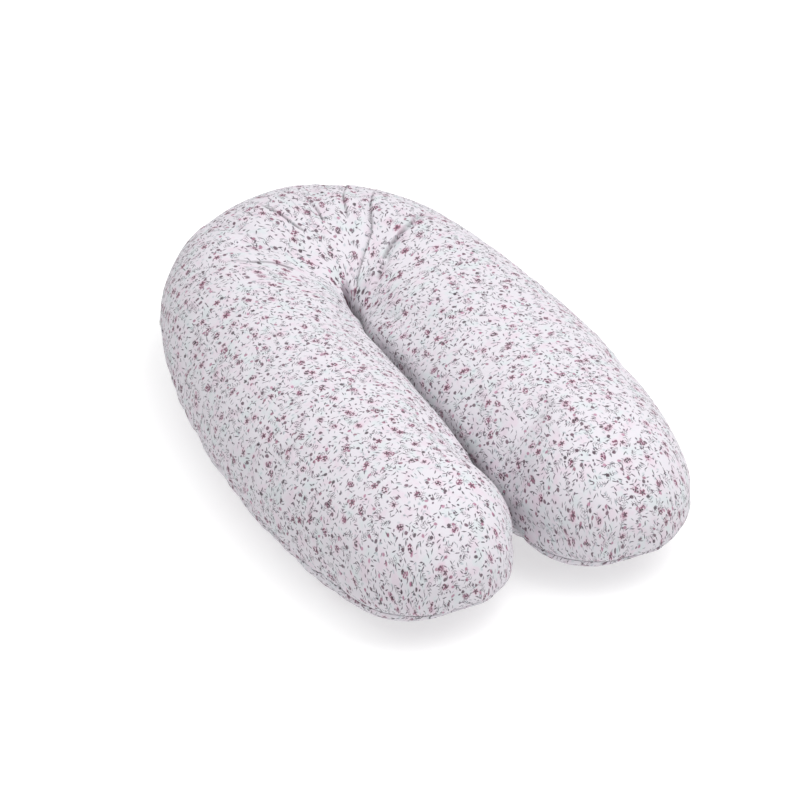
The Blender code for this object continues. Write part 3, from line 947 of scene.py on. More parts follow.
@dataclass
class SewnCase:
    """A case of two panels, sewn all round: the removable cover, or the plain case inside it.

    Each panel is made for the whole pillow and then parted at x = 0 into two halves.

    Attributes:
        name: What its pieces' names start with.
        shape: The pillow's outline and section.
        inset: How far inside the outline the panels lie.
        thickness: Thickness of the cloth.
        steps: Stations on half the crown, on an arm and on its tip.
        across_steps: Points across a panel.
        allowance: Width of the seam allowance inside the seam.
        seam_gap: Half the gap between the panels at the seam.
        seam_dip: How far the seam is drawn in.
        seam_drop: How far under the outline the seam lies, away from the zip.
        level_seam: How far past the zip's ends the seam stays on the outline.
        drop_run: Length over which the seam then drops.
        zip_from: Angle at which the zip's opening starts, in radians.
        zip_opening: Half the opening's height.
        zip_taper: Length over which the opening closes at its ends.
        touch: Half the gap left between the arms.
        slit_shade: How much painted shade darkens the cloth in the slit, from 0 to 1.
        press: How far the filling is pushed towards the crook.
        left_press: Share of that on the left arm, which the right one leans on.
        lean: How far the right arm leans over the middle on the left one.
        press_tip: The same halfway down the arms.
        crook_squeeze: Share by which the arms close the crook.
        crook_shift: How far the crown bulges forward over the crook.
        crook_reach: How far round the crook that bulge reaches.
        pleats: The folds over the crown.
        rest_height: The lowest that the case reaches.
        halves: The finished pieces.
        hemmed: Each panel's finished points, station by station.
    """

    name: str
    shape: PillowShape
    inset: float = 0.0015
    thickness: float = 0.0008
    steps: tuple[int, int, int] = (110, 130, 44)
    across_steps: int = 96
    allowance: float = 0.005
    seam_gap: float = 0.0003
    seam_dip: float = 0.0030
    seam_drop: float = 0.034
    level_seam: float = 0.080
    drop_run: float = 0.120
    zip_from: float = ZIP_START
    zip_opening: float = 0.0052
    zip_taper: float = 0.012
    touch: float = 0.0012
    slit_shade: float = 0.50
    press: float = 0.020
    left_press: float = 0.05
    lean: float = 0.012
    crook_squeeze: float = 0.70
    crook_shift: float = 0.050
    crook_reach: float = 0.088
    press_tip: float = 0.019
    pleats: tuple[Pleat, ...] = (
        Pleat((48, 0.070), (58, 0.214), 0.0036, 0.0026, -1, 0.02),
        Pleat((-81, 0.055), (48, 0.200), 0.0052, 0.0030, -1, -0.03),
        Pleat((-78, 0.071), (18, 0.182), 0.0076, 0.0036, 1, 0.02),
        Pleat((70, 0.060), (80, 0.156), 0.0026, 0.0030, -1, 0.0),
        Pleat((100, 0.045), (104, 0.160), 0.0020, 0.0034, -1, 0.03),
        Pleat((128, 0.040), (116, 0.200), 0.0024, 0.0034, 1, -0.03),
        Pleat((158, 0.040), (142, 0.170), 0.0022, 0.0032, 1, 0.04),
        Pleat((190, 0.050), (164, 0.145), 0.0018, 0.0036, -1, -0.04),
    )
    rest_height: float = 0.0
    halves: dict[tuple[Panel, Side], bpy.types.Object] = field(default_factory=dict)
    hemmed: dict[Panel, np.ndarray] = field(default_factory=dict)

    def across(self) -> np.ndarray:
        """Shares across a panel, closer together at its edges."""
        return -np.cos(np.linspace(0, math.pi, self.across_steps + 1))

    def skins(self) -> dict[Panel, np.ndarray]:
        """Both panels' points before the filling swells them."""
        self.at = self.shape.stations(self.inset, self.steps)
        made = {panel: self.shape.section(self.at, self.across(), panel, self.inset)
                for panel in Panel}
        for points in made.values():
            self.press_inwards(points)
        return made

    def contact(self) -> np.ndarray:
        """Where the arms meet, in x, station by station."""
        down = smoothstep((self.shape.crown_y - self.at.inner[:, 1]) / 0.14)
        return -self.lean * down * smoothstep((self.at.inner[:, 1] - self.shape.tip_y) / 0.16)

    def press_inwards(self, points: np.ndarray) -> None:
        """Fills a panel out towards the slit and the crook, where the arms press together."""
        at = self.at
        back = at.inner - at.outer
        back = back / np.maximum(np.linalg.norm(back, axis=1, keepdims=True), 1e-9)
        down = self.shape.crown_y - at.inner[:, 1]
        full = self.press - (self.press - self.press_tip) * smoothstep(down / 0.30)
        full = full * smoothstep((at.inner[:, 1] - self.shape.tip_y) / 0.10)
        left_arm = (at.along < 0) * smoothstep((down - 0.03) / 0.10)
        full = full * (1 - (1 - self.left_press) * left_arm)
        share = smoothstep(-self.across() / 0.9)
        beyond = ((points[..., :2] - at.inner[:, None]) * back[:, None]).sum(2)
        gap = np.abs(at.inner[:, 0]) - self.touch - np.sign(at.along) * self.contact()
        gap = np.maximum(gap, 0) * smoothstep(down / 0.05)
        move = np.minimum(full[:, None] * share, gap[:, None] * share - beyond)
        points[..., :2] += back[:, None] * np.maximum(move, 0)[..., None]
        away = np.hypot(points[..., 0], points[..., 1] - self.shape.crown_y)
        points[..., 0] *= 1 - self.crook_squeeze * np.exp(-(away / 0.035) ** 2)
        points[..., 1] -= self.crook_shift * np.exp(-(away / self.crook_reach) ** 2)

    def facing(self, points: np.ndarray, panel: Panel) -> np.ndarray:
        """Outward directions of a panel's points."""
        along = np.gradient(points, axis=0)
        across = np.gradient(points, axis=1)
        found = np.cross(along, across) * panel.value
        length = np.linalg.norm(found, axis=2, keepdims=True)
        return found / np.maximum(length, 1e-12)

    def shape_folds(self, points: np.ndarray, panel: Panel) -> np.ndarray:
        """Presses the folds and soft lumps into a panel.

        Args:
            points: The panel's points, which are moved.
            panel: The panel.

        Returns:
            How much painted shade each point takes, deep in a fold or in the slit, from 0 to 1.
        """
        normal = self.facing(points, panel)
        centre = np.array([0.0, self.shape.crown_y])
        lift = 0.0016 * lumps(points, 0.105, 3.7) + 0.0007 * lumps(points, 0.042, 8.1)
        depth = np.zeros(points.shape[:2])
        if panel is Panel.TOP:
            for pleat in self.pleats:
                moved, mask = pleat.profile(points[..., :2], centre)
                lift += moved
                depth = np.maximum(depth, mask)
            # Painted shade along the slit, where the arms meet.
            arm = (self.at.polar < 0)[:, None] & (np.abs(self.across()) > 0.2)
            slit = arm * np.exp(-((points[..., 0] - self.contact()[:, None]) / 0.010) ** 2)
            depth = np.maximum(depth, self.slit_shade * slit)
        from_seam = self.from_edge(points)
        run = np.repeat(self.at.along[:, None], points.shape[1], 1)
        side = np.sign(self.across())[None, :] * 3.0
        ripple = np.stack([run / 0.0125, side + 0 * run, from_seam / 0.05], 2)
        ripple = lumps(ripple, 1.0, 21.3 + panel.value)
        lift += 0.0022 * ripple * np.exp(-from_seam / 0.014) * smoothstep(from_seam / 0.003)
        taut = self.opening()[:, None] * (self.across() > 0) * np.exp(-(from_seam / 0.016) ** 2)
        lift *= 1 - taut
        points += normal * lift[..., None]
        return depth

    def from_edge(self, points: np.ndarray) -> np.ndarray:
        """Distance of each point from the nearer edge of its panel, along the cloth."""
        steps = np.linalg.norm(np.diff(points, axis=1), axis=2)
        start = np.concatenate([np.zeros((len(points), 1)), np.cumsum(steps, 1)], 1)
        return np.minimum(start, start[:, -1:] - start)

    def lower_seam(self, skins: dict[Panel, np.ndarray]) -> None:
        """Slides the line where the panels meet down under the arms, over the same surface."""
        past = (self.zip_reach() + self.level_seam + self.drop_run) / self.drop_run
        drop = self.seam_drop * (1 - smoothstep(past))
        rows, columns = skins[Panel.TOP].shape[:2]
        corners = np.arange(rows * columns).reshape(rows, columns)
        near, far = corners[:-1], corners[1:]
        quads = np.stack([near[:, :-1], far[:, :-1], far[:, 1:], near[:, 1:]], 2).reshape(-1, 4)
        both = np.concatenate([points.reshape(-1, 3) for points in skins.values()])
        faces = [*quads.tolist(), *(quads + rows * columns).tolist()]
        tree = BVHTree.FromPolygons(both.tolist(), faces)
        low = np.nonzero(drop > 1e-5)[0]
        for panel, points in skins.items():
            rise = np.abs(points[low, :, 2] - self.shape.seam_height)
            reach = rise.max()
            moved = points[low]
            moved[..., 2] -= drop[low, None] * (1 - smoothstep(rise / reach))
            found = [tree.find_nearest(place)[0][:] for place in moved.reshape(-1, 3).tolist()]
            points[low] = np.array(found).reshape(moved.shape)

    def inward(self, edge: np.ndarray) -> np.ndarray:
        """Directions from an edge towards the pillow's core line, station by station."""
        core = (self.at.inner + self.at.outer) / 2
        core[:, 1] = np.maximum(core[:, 1], self.shape.tip_y)
        level = np.full((len(core), 1), self.shape.seam_height)
        away = np.concatenate([core, level], 1) - edge
        return away / np.linalg.norm(away, axis=1, keepdims=True)

    def zip_reach(self) -> np.ndarray:
        """How far inside the zip's run each station lies, in metres, below 0 outside it."""
        room = np.minimum(self.at.polar, math.pi - self.at.polar) - self.zip_from
        past = np.abs(self.at.along) - self.shape.crown_radius * math.pi / 2
        outside = -past - self.zip_from * self.shape.crown_radius
        return np.where(self.at.polar < 0, outside, room * self.shape.crown_radius)

    def opening(self) -> np.ndarray:
        """How open the panels are at the outer edge, station by station, from 0 to 1."""
        return smoothstep((self.zip_reach() + self.zip_taper) / self.zip_taper)

    def hem(self, points: np.ndarray, panel: Panel) -> np.ndarray:
        """Draws the seam in, and turns each edge inwards as a seam allowance or a zip hem.

        Args:
            points: The panel's points.
            panel: The panel.

        Returns:
            The points with two more at each end of every row.
        """
        up = np.array([0, 0, panel.value])
        half = points.shape[1] // 2
        off = self.from_edge(points)
        ends = []
        for outer in (False, True):
            share = (self.opening() if outer else np.zeros(len(points)))[:, None]
            cut = slice(half, None) if outer else slice(0, half)
            edge = points[:, -1 if outer else 0].copy()
            inward = self.inward(edge)
            close = np.exp(-(off[:, cut] / 0.0060) ** 1.5)
            dip = self.seam_dip * (1 - 0.6 * share)
            points[:, cut] += inward[:, None] * (dip * close)[..., None]
            gap = self.seam_gap + (self.zip_opening - self.seam_gap) * share
            away = np.clip(1 - off[:, cut] / 0.020, 0, 1)
            room = (edge[:, None, 2] + panel.value * gap - points[:, cut, 2]) * panel.value
            points[:, cut, 2] += panel.value * np.maximum(room, 0) * (away > 0)
            edge = points[:, -1 if outer else 0]
            first = edge + inward * 0.0017
            flat = edge + inward * self.allowance
            folded = edge + inward * 0.0019 + up * self.allowance
            last = flat + (folded - flat) * share
            ends.append(np.stack([first, last] if outer else [last, first], 1))
        return np.concatenate([ends[0], points, ends[1]], 1)

    def print_map(self, points: np.ndarray, panel: Panel) -> np.ndarray:
        """Lays a panel out flat, as it was cut, in metres."""
        middle = points.shape[1] // 2
        steps = np.linalg.norm(np.diff(points, axis=1), axis=2)
        reach = np.concatenate([np.zeros((len(points), 1)), np.cumsum(steps, 1)], 1)
        reach = reach - reach[:, middle:middle + 1]
        core = (self.at.inner + self.at.outer) / 2
        centre = np.array([0.0, self.shape.crown_y])
        sign = np.sign(self.at.along)
        out = np.where(
            self.at.polar[:, None] >= 0, core - centre, np.stack([sign, 0 * sign], 1))
        out = out / np.linalg.norm(out, axis=1, keepdims=True)
        gather = 0.69 + 0.31 * smoothstep((self.shape.crown_y - core[:, 1]) / 0.12)
        reach = np.where(reach < 0, reach * gather[:, None], reach)
        crest = points[:, middle]
        run = np.concatenate([[0], np.cumsum(np.linalg.norm(np.diff(crest, axis=0), axis=1))])
        past = np.abs(run - run[len(run) // 2])
        half = slice(len(core) // 2, None)
        join = np.interp(self.shape.crown_y, core[half, 1][::-1], past[half][::-1])
        lay = core.copy()
        arm = self.at.polar < 0
        lay[arm, 1] = self.shape.crown_y - (past[arm] - join)
        flat = lay[:, None] + out[:, None] * reach[..., None]
        return flat + (1.0 if panel is Panel.TOP else 3.7)

    def bake_map(self, rows: int, columns: int) -> tuple[np.ndarray, int]:
        """A tidy map of one half panel in two charts side by side.

        Args:
            rows: Stations on the half panel.
            columns: Points across it.

        Returns:
            The first chart's places, and the station at which the second chart starts.
        """
        split = rows // 2
        margin = 0.008
        run = np.arange(rows)[:, None] / split
        share = np.arange(columns)[None, :] / (columns - 1)
        u = margin + share * (0.5 - 2 * margin) + 0 * run
        v = margin + (run % 1.0) * (1 - 2 * margin) + 0 * share
        return np.stack([u, v], 2), split

    def sew(self, finish: bpy.types.Material, swell: "Swelling | None") -> None:
        """Builds the four pieces.

        Args:
            finish: The cover's finish.
            swell: How the filling moves the cloth, or None to leave it.
        """
        skins = self.skins()
        if swell:
            swell.settle(skins)
            for points in skins.values():
                swell.move(points)
        self.lower_seam(skins)
        for panel, points in skins.items():
            self.press_arms(points)
            depth = self.shape_folds(points, panel)
            self.press_arms(points)
            points[..., 2] = np.maximum(points[..., 2], self.rest_height)
            hemmed = self.hem(points, panel)
            self.hemmed[panel] = hemmed
            depth = np.pad(depth, ((0, 0), (2, 2)))
            self.part(panel, hemmed, depth, finish)

    def press_arms(self, points: np.ndarray) -> None:
        """Keeps each arm on its own side of the slit, flat where the two press together."""
        sign = np.sign(self.at.along)[:, None]
        sign[len(sign) // 2] = 1
        plane = self.contact()[:, None]
        arm = (self.at.polar < 0)[:, None] & ((points[..., 0] - plane) * sign < self.touch)
        points[..., 0] = np.where(arm, plane + self.touch * sign, points[..., 0])

    def part(self, panel: Panel, points: np.ndarray, depth: np.ndarray,
             finish: bpy.types.Material) -> None:
        """Makes one panel's two halves from its points."""
        normal = self.facing(points, panel)
        flat = self.print_map(points, panel)
        middle = len(points) // 2
        for side in Side:
            span = slice(0, middle + 1) if side is Side.LEFT else slice(middle, None)
            order = slice(None, None, -1) if side is Side.LEFT else slice(None)
            pick = [rows[span][order] for rows in (points, normal, flat, depth)]
            name = f"{self.name}_{panel.word}_{side.word}"
            item = woven_shell(name, *pick, self.thickness, finish, self.bake_map)
            self.halves[panel, side] = item

    def dress(self, slot: str) -> None:
        """Hides the plain panels that the pieces stand in for."""
        for (panel, side), item in self.halves.items():
            bend_with_arm(item)
            part = f"{self.name}_{panel.word}"
            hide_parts(f"{part}_crown", f"{part}_{side.word}_arm")
            report(item)


def woven_shell(name: str, points: np.ndarray, normal: np.ndarray, flat: np.ndarray,
                depth: np.ndarray, thickness: float, finish: bpy.types.Material,
                bake_map: object) -> bpy.types.Object:
    """Makes a cloth panel with a real thickness from a grid of points.

    Args:
        name: The piece's name.
        points: The cloth's outer face.
        normal: Its outward directions.
        flat: Its places on the print.
        depth: How much painted shade each point takes, deep in a fold or in the slit.
        thickness: Thickness of the cloth.
        finish: Its material.
        bake_map: Gives the tidy map of a panel.

    Returns:
        The panel, with its faces outwards.
    """
    rows, columns = points.shape[:2]
    shape = bmesh.new()
    bmesh.ops.create_grid(shape, x_segments=columns - 1, y_segments=rows - 1, size=0.5)
    mesh = bpy.data.meshes.new(name)
    shape.to_mesh(mesh)
    shape.free()
    mesh.vertices.foreach_set("co", points.reshape(-1))
    corner = np.zeros(len(mesh.loops), int)
    mesh.loops.foreach_get("vertex_index", corner)
    tidy, split = bake_map(rows, columns)
    second = corner.reshape(-1, 4).min(1).repeat(4) // columns >= split
    place = tidy.reshape(-1, 2)[corner].copy()
    place[second, 0] += 0.5
    on_split = (corner // columns) % split == 0
    end_of_first = on_split & (corner // columns > 0) & ~second
    place[end_of_first, 1] = tidy[split - 1, 0, 1] * 2 - tidy[split - 2, 0, 1]
    end_of_second = on_split & (corner // columns >= 2 * split) & second
    place[end_of_second, 1] = tidy[split - 1, 0, 1] * 2 - tidy[split - 2, 0, 1]
    mesh.uv_layers.new(name="Print").data.foreach_set("uv", flat.reshape(-1, 2)[corner].reshape(-1))
    mesh.uv_layers.new(name="OFBake").data.foreach_set("uv", place.reshape(-1))
    mesh.attributes.new("Facing", "FLOAT_VECTOR", "POINT").data.foreach_set(
        "vector", normal.reshape(-1))
    # Fold holds the painted shade for the pleats and the slit.
    mesh.attributes.new("Fold", "FLOAT", "POINT").data.foreach_set("value", depth.reshape(-1))
    mesh.update()
    shape = bmesh.new()
    shape.from_mesh(mesh)
    bmesh.ops.remove_doubles(shape, verts=shape.verts, dist=1e-6)
    facing = shape.verts.layers.float_vector["Facing"]
    turned = sum(face.normal.dot(face.verts[0][facing]) for face in shape.faces)
    if turned < 0:
        bmesh.ops.reverse_faces(shape, faces=shape.faces)
    shape.to_mesh(mesh)
    shape.free()
    item = bpy.data.objects.new(name, mesh)
    bpy.context.scene.collection.objects.link(item)
    wall = item.modifiers.new("Cloth thickness", "SOLIDIFY")
    wall.thickness = thickness
    wall.offset = -1.0
    apply_modifiers(item)
    item.data.shade_smooth()
    item.data.materials.append(finish)
    return item


@dataclass
class Swelling:
    """The filling's pressure on the cover, worked out with a cloth simulation.

    Attributes:
        shape: The pillow's outline and section.
        voxel: Size of the simulated cloth's faces.
        frames: How many steps are run.
        pressure: How hard the filling pushes.
        reach: How far a point may move.
        rounding: How much of the broad swelling is kept, since the outline already has it.
        evening: How many passes part the broad swelling from the folds.
    """

    shape: PillowShape
    voxel: float = 0.0075
    frames: int = 20
    pressure: float = 4.0
    reach: float = 0.009
    rounding: float = 0.15
    evening: int = 60

    def closed_skin(self, skins: dict[Panel, np.ndarray]) -> bpy.types.Object:
        """Joins both panels into one closed skin of even faces."""
        shape = bmesh.new()
        for points in skins.values():
            add_grid(shape, points[::2, ::4])
        bmesh.ops.remove_doubles(shape, verts=shape.verts, dist=2e-4)
        bmesh.ops.recalc_face_normals(shape, faces=shape.faces)
        mesh = bpy.data.meshes.new("swelling")
        shape.to_mesh(mesh)
        shape.free()
        item = bpy.data.objects.new("swelling", mesh)
        bpy.context.scene.collection.objects.link(item)
        even = item.modifiers.new("Even faces", "REMESH")
        even.mode = "VOXEL"
        even.voxel_size = self.voxel
        apply_modifiers(item)
        return item

    def settle(self, skins: dict[Panel, np.ndarray]) -> None:
        """Runs the simulation and keeps how far each point of the skin moves."""
        item = self.closed_skin(skins)
        rest = np.array([vert.co for vert in item.data.vertices])
        still = item.vertex_groups.new(name="resting")
        still.add([i for i in range(len(rest)) if rest[i, 2] < 0.006], 1.0, "REPLACE")
        sewn = item.vertex_groups.new(name="sewn")
        near = np.abs(rest[:, 2] - self.shape.seam_height) < 0.008
        sewn.add([int(i) for i in np.nonzero(near)[0]], 1.0, "REPLACE")
        cloth = item.modifiers.new("Cloth", "CLOTH")
        cloth.point_cache.frame_end = self.frames
        settings = cloth.settings
        settings.quality = 5
        settings.mass = 0.25
        settings.tension_stiffness = 25
        settings.compression_stiffness = 6
        settings.shear_stiffness = 5
        settings.bending_stiffness = 0.4
        settings.use_pressure = True
        settings.uniform_pressure_force = self.pressure
        settings.effector_weights.gravity = 0
        settings.vertex_group_mass = "resting"
        settings.vertex_group_shrink = "sewn"
        settings.shrink_min = -0.022
        settings.shrink_max = 0.0
        for frame_number in range(1, self.frames + 1):
            bpy.context.scene.frame_set(frame_number)
        apply_modifiers(item)
        end = np.array([vert.co for vert in item.data.vertices])
        edges = np.array([edge.vertices for edge in item.data.edges])
        bpy.data.objects.remove(item, do_unlink=True)
        bpy.context.scene.frame_set(1)
        moved = end - rest
        moved = moved - (1 - self.rounding) * self.spread(moved, edges)
        far = np.linalg.norm(moved, axis=1, keepdims=True)
        self.moved = moved / np.maximum(far, 1e-9) * self.reach * np.tanh(far / self.reach)
        self.tree = kdtree.KDTree(len(rest))
        for index, place in enumerate(rest):
            self.tree.insert(place, index)
        self.tree.balance()
        LOG.info("swelling: %d points, moved %.1f mm at most, %.1f mm on average",
                 len(rest), far.max() * 1000, far.mean() * 1000)

    def spread(self, moved: np.ndarray, edges: np.ndarray) -> np.ndarray:
        """Evens out a movement over the skin, which leaves only its broad part."""
        count = np.bincount(edges.reshape(-1), minlength=len(moved))[:, None]
        for _ in range(self.evening):
            total = np.zeros_like(moved)
            np.add.at(total, edges[:, 0], moved[edges[:, 1]])
            np.add.at(total, edges[:, 1], moved[edges[:, 0]])
            moved = total / count
        return moved

    def move(self, points: np.ndarray) -> None:
        """Moves points as the skin near them moved."""
        for row in points:
            for place in row:
                found = self.tree.find_n(place, 6)
                weight = np.array([1 / (gap * gap + 1e-6) for _, _, gap in found])
                shift = self.moved[[index for _, index, _ in found]]
                place += (weight @ shift) / weight.sum()


# ---------------------------------------------------------------- inside the cover


@dataclass
class Filling:
    """The fibre filling: one soft body for each half of the pillow.

    Attributes:
        shape: The pillow's outline and section.
        inset: How far inside the outline the fibre lies.
        steps: Stations on half the crown, on an arm and on its tip.
        across_steps: Points across each face.
        halves: The finished bodies.
    """

    shape: PillowShape
    inset: float = 0.0150
    steps: tuple[int, int, int] = (26, 40, 14)
    across_steps: int = 24
    halves: dict[Side, bpy.types.Object] = field(default_factory=dict)

    def stuff(self, finish: bpy.types.Material) -> None:
        """Builds both halves."""
        at = self.shape.stations(self.inset, self.steps)
        across = -np.cos(np.linspace(0, math.pi, self.across_steps + 1))
        top, under = (self.shape.section(at, across, panel, self.inset) for panel in Panel)
        rings = np.concatenate([top, under[:, ::-1]], 1)
        core = np.concatenate([(at.inner + at.outer) / 2, at.above[:, None] * 0 + 0.09], 1)
        away = rings - core[:, None]
        rings += away * 0.03 * lumps(rings, 0.055, 5.5)[..., None]
        middle = len(rings) // 2
        for side in Side:
            half = rings[:middle + 1][::-1] if side is Side.LEFT else rings[middle:]
            shape = bmesh.new()
            add_grid(shape, half)
            bmesh.ops.remove_doubles(shape, verts=shape.verts, dist=1e-5)
            bmesh.ops.holes_fill(shape, edges=[e for e in shape.edges if e.is_boundary], sides=0)
            bmesh.ops.recalc_face_normals(shape, faces=shape.faces)
            self.halves[side] = add_object(f"filling_{side.word}", shape, finish)

    def dress(self) -> None:
        """Stands the halves in for the plain filling, which is hidden."""
        for side, item in self.halves.items():
            bend_with_arm(item)
            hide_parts("filling_crown", f"filling_{side.word}_arm")
            report(item)


# ---------------------------------------------------------------- zip and label


@dataclass
class CrownZip:
    """The zip round the crown: tapes, coils, stops, slider, pull and the hem's stitching.

    Attributes:
        centre_y: Where the zip's arc is centred, on x = 0.
        level: Height of the zip's middle.
        radius: Radius of the coils' path.
        start: Angle at which the zip starts, in radians.
        tape_from: Height of a tape's near edge from the zip's middle.
        tape_width: Width of a tape.
        tape_lean: How far a tape's far edge leans in.
        tape_tuck: How far a tape lies behind the cloth.
        tail: How far the tapes run on past the stops.
        tape_thickness: Thickness of a tape.
        bead: How far the corded edge of a tape stands proud.
        coil_middle: Height of a coil's middle from the zip's middle.
        coil_size: Half depth and half height of a coil's turns.
        wire: Radius of the coil's nylon.
        pitch: Distance between turns.
        end_room: Length left at each end for the stops.
        stitch_pitch: Distance between the hem's stitches.
        stitch_size: Half length and radius of a stitch.
        stitch_from: Distance of the stitching from the hem's fold.
    """

    centre_y: float
    level: float
    radius: float = 0.213283
    start: float = ZIP_START
    tape_from: float = 0.00305
    tape_width: float = 0.0110
    tape_lean: float = 0.0010
    tape_tuck: float = 0.0011
    tail: float = 0.016
    tape_thickness: float = 0.0005
    bead: float = 0.00018
    coil_middle: float = 0.00158
    coil_size: tuple[float, float] = (0.00088, 0.00150)
    wire: float = 0.00024
    pitch: float = 0.00125
    end_room: float = 0.0036
    stitch_pitch: float = 0.0031
    stitch_size: tuple[float, float] = (0.00125, 0.00026)
    stitch_from: float = 0.0040

    def bend(self, shape: bmesh.types.BMesh) -> None:
        """Wraps a straight piece round the crown: its X is depth and its Y runs along the zip."""
        for vert in shape.verts:
            depth, along, height = vert.co
            angle = self.start + along / self.radius
            reach = self.radius + depth
            vert.co = (reach * math.cos(angle), self.centre_y + reach * math.sin(angle),
                       self.level + height)

    @property
    def run(self) -> float:
        """The zip's length."""
        return (math.pi - 2 * self.start) * self.radius

    def tape(self, name: str, up: int, finish: bpy.types.Material) -> bpy.types.Object:
        """Weaves one tape, with a corded edge beside the coil.

        Args:
            name: The piece's name.
            up: 1 for the upper tape, -1 for the lower one.
            finish: Its material.

        Returns:
            The tape.
        """
        shape = bmesh.new()
        bmesh.ops.create_grid(shape, x_segments=10, y_segments=150, size=0.5, calc_uvs=True)
        flat = shape.loops.layers.uv.new("Cloth")
        for face in shape.faces:
            for loop in face.loops:
                place = loop.vert.co
                loop[flat].uv = (place.x * self.tape_width, place.y * (self.run + 2 * self.tail))
        for vert in shape.verts:
            share = vert.co.x + 0.5
            along = (vert.co.y + 0.5) * (self.run + 2 * self.tail) - self.tail
            past = max(-along, along - self.run, 0) / self.tail
            bead = self.bead * math.exp(-((share - 0.06) / 0.05) ** 2)
            behind = self.tape_tuck * smoothstep(share / 0.22) + self.tape_lean * share
            near = self.tape_from * (1 - smoothstep(past * 1.5)) + 0.0003
            vert.co = (bead - behind - self.tape_lean * smoothstep(past), along,
                       up * (near + share * self.tape_width))
        self.bend(shape)
        if up > 0:
            bmesh.ops.reverse_faces(shape, faces=shape.faces)
        item = add_object(name, shape, finish)
        wall = item.modifiers.new("Tape thickness", "SOLIDIFY")
        wall.thickness = self.tape_thickness
        wall.offset = -1.0
        apply_modifiers(item)
        return item

    def coil(self, name: str, up: int, finish: bpy.types.Material) -> bpy.types.Object:
        """Winds one row of the nylon coil.

        Args:
            name: The piece's name.
            up: 1 for the upper row, -1 for the lower one.
            finish: Its material.

        Returns:
            The coil.
        """
        steps = 9
        depth, height = self.coil_size
        shape = bmesh.new()
        ring = bmesh.ops.create_circle(
            shape, cap_ends=False, segments=5, radius=self.wire,
            matrix=Matrix.Translation((depth, 0, 0)))["verts"]
        edges = list({edge for vert in ring for edge in vert.link_edges})
        bmesh.ops.spin(
            shape, geom=ring + edges, cent=(0, 0, 0), axis=(0, 1, 0),
            dvec=(0, self.pitch / steps, 0), angle=math.tau, steps=steps, use_duplicate=False)
        item = add_object(name, shape, finish)
        turns = item.modifiers.new("Turns", "ARRAY")
        turns.count = int((self.run - 2 * self.end_room) / self.pitch)
        turns.use_relative_offset, turns.use_constant_offset = False, True
        turns.constant_offset_displace = (0, self.pitch, 0)
        turns.use_merge_vertices, turns.merge_threshold = True, 1e-5
        apply_modifiers(item)
        shift = self.end_room + (self.pitch / 2 if up < 0 else 0)
        shape = bmesh.new()
        shape.from_mesh(item.data)
        bmesh.ops.holes_fill(shape, edges=[e for e in shape.edges if e.is_boundary], sides=0)
        for vert in shape.verts:
            vert.co.y += shift
            vert.co.z = up * (self.coil_middle + vert.co.z * height / depth)
        self.bend(shape)
        bmesh.ops.recalc_face_normals(shape, faces=shape.faces)
        shape.to_mesh(item.data)
        shape.free()
        return item

    def stitching(self, name: str, points: np.ndarray, facing: np.ndarray, polar: np.ndarray,
                  finish: bpy.types.Material) -> bpy.types.Object:
        """Lays one row of stitches beside the opening.

        Args:
            name: The piece's name.
            points: The panel's points, with its outer edge last in each row.
            facing: Their outward directions.
            polar: Each station's angle, below 0 off the crown.
            finish: The thread's material.

        Returns:
            The stitches.
        """
        line, outward = [], []
        for row, normals, angle in zip(points, facing, polar):
            if not self.start - 0.05 < angle < math.pi - self.start + 0.05:
                continue
            back, turned = row[-3::-1], normals[-3::-1]
            run = np.concatenate([[0], np.cumsum(np.linalg.norm(np.diff(back, axis=0), axis=1))])
            line.append([np.interp(self.stitch_from, run, back[:, k]) for k in range(3)])
            outward.append([np.interp(self.stitch_from, run, turned[:, k]) for k in range(3)])
        line, outward = np.array(line), np.array(outward)
        run = np.concatenate([[0], np.cumsum(np.linalg.norm(np.diff(line, axis=0), axis=1))])
        shape = bmesh.new()
        half, radius = self.stitch_size
        for middle in np.arange(self.stitch_pitch, run[-1] - self.stitch_pitch, self.stitch_pitch):
            place, ahead, out = (
                Vector([np.interp(at, run, rows[:, k]) for k in range(3)])
                for at, rows in ((middle, line), (middle + 0.001, line), (middle, outward)))
            along = (ahead - place).normalized()
            out = (out - along * out.dot(along)).normalized()
            turn = Matrix((along, out.cross(along), out)).transposed().to_4x4()
            size = Matrix.Diagonal((half, radius, radius, 1))
            bmesh.ops.create_uvsphere(
                shape, u_segments=6, v_segments=5, radius=1.0,
                matrix=Matrix.Translation(place + out * radius * 0.35) @ turn @ size)
        LOG.info("%s: %.0f mm of stitching", name, run[-1] * 1000)
        return add_object(name, shape, finish)

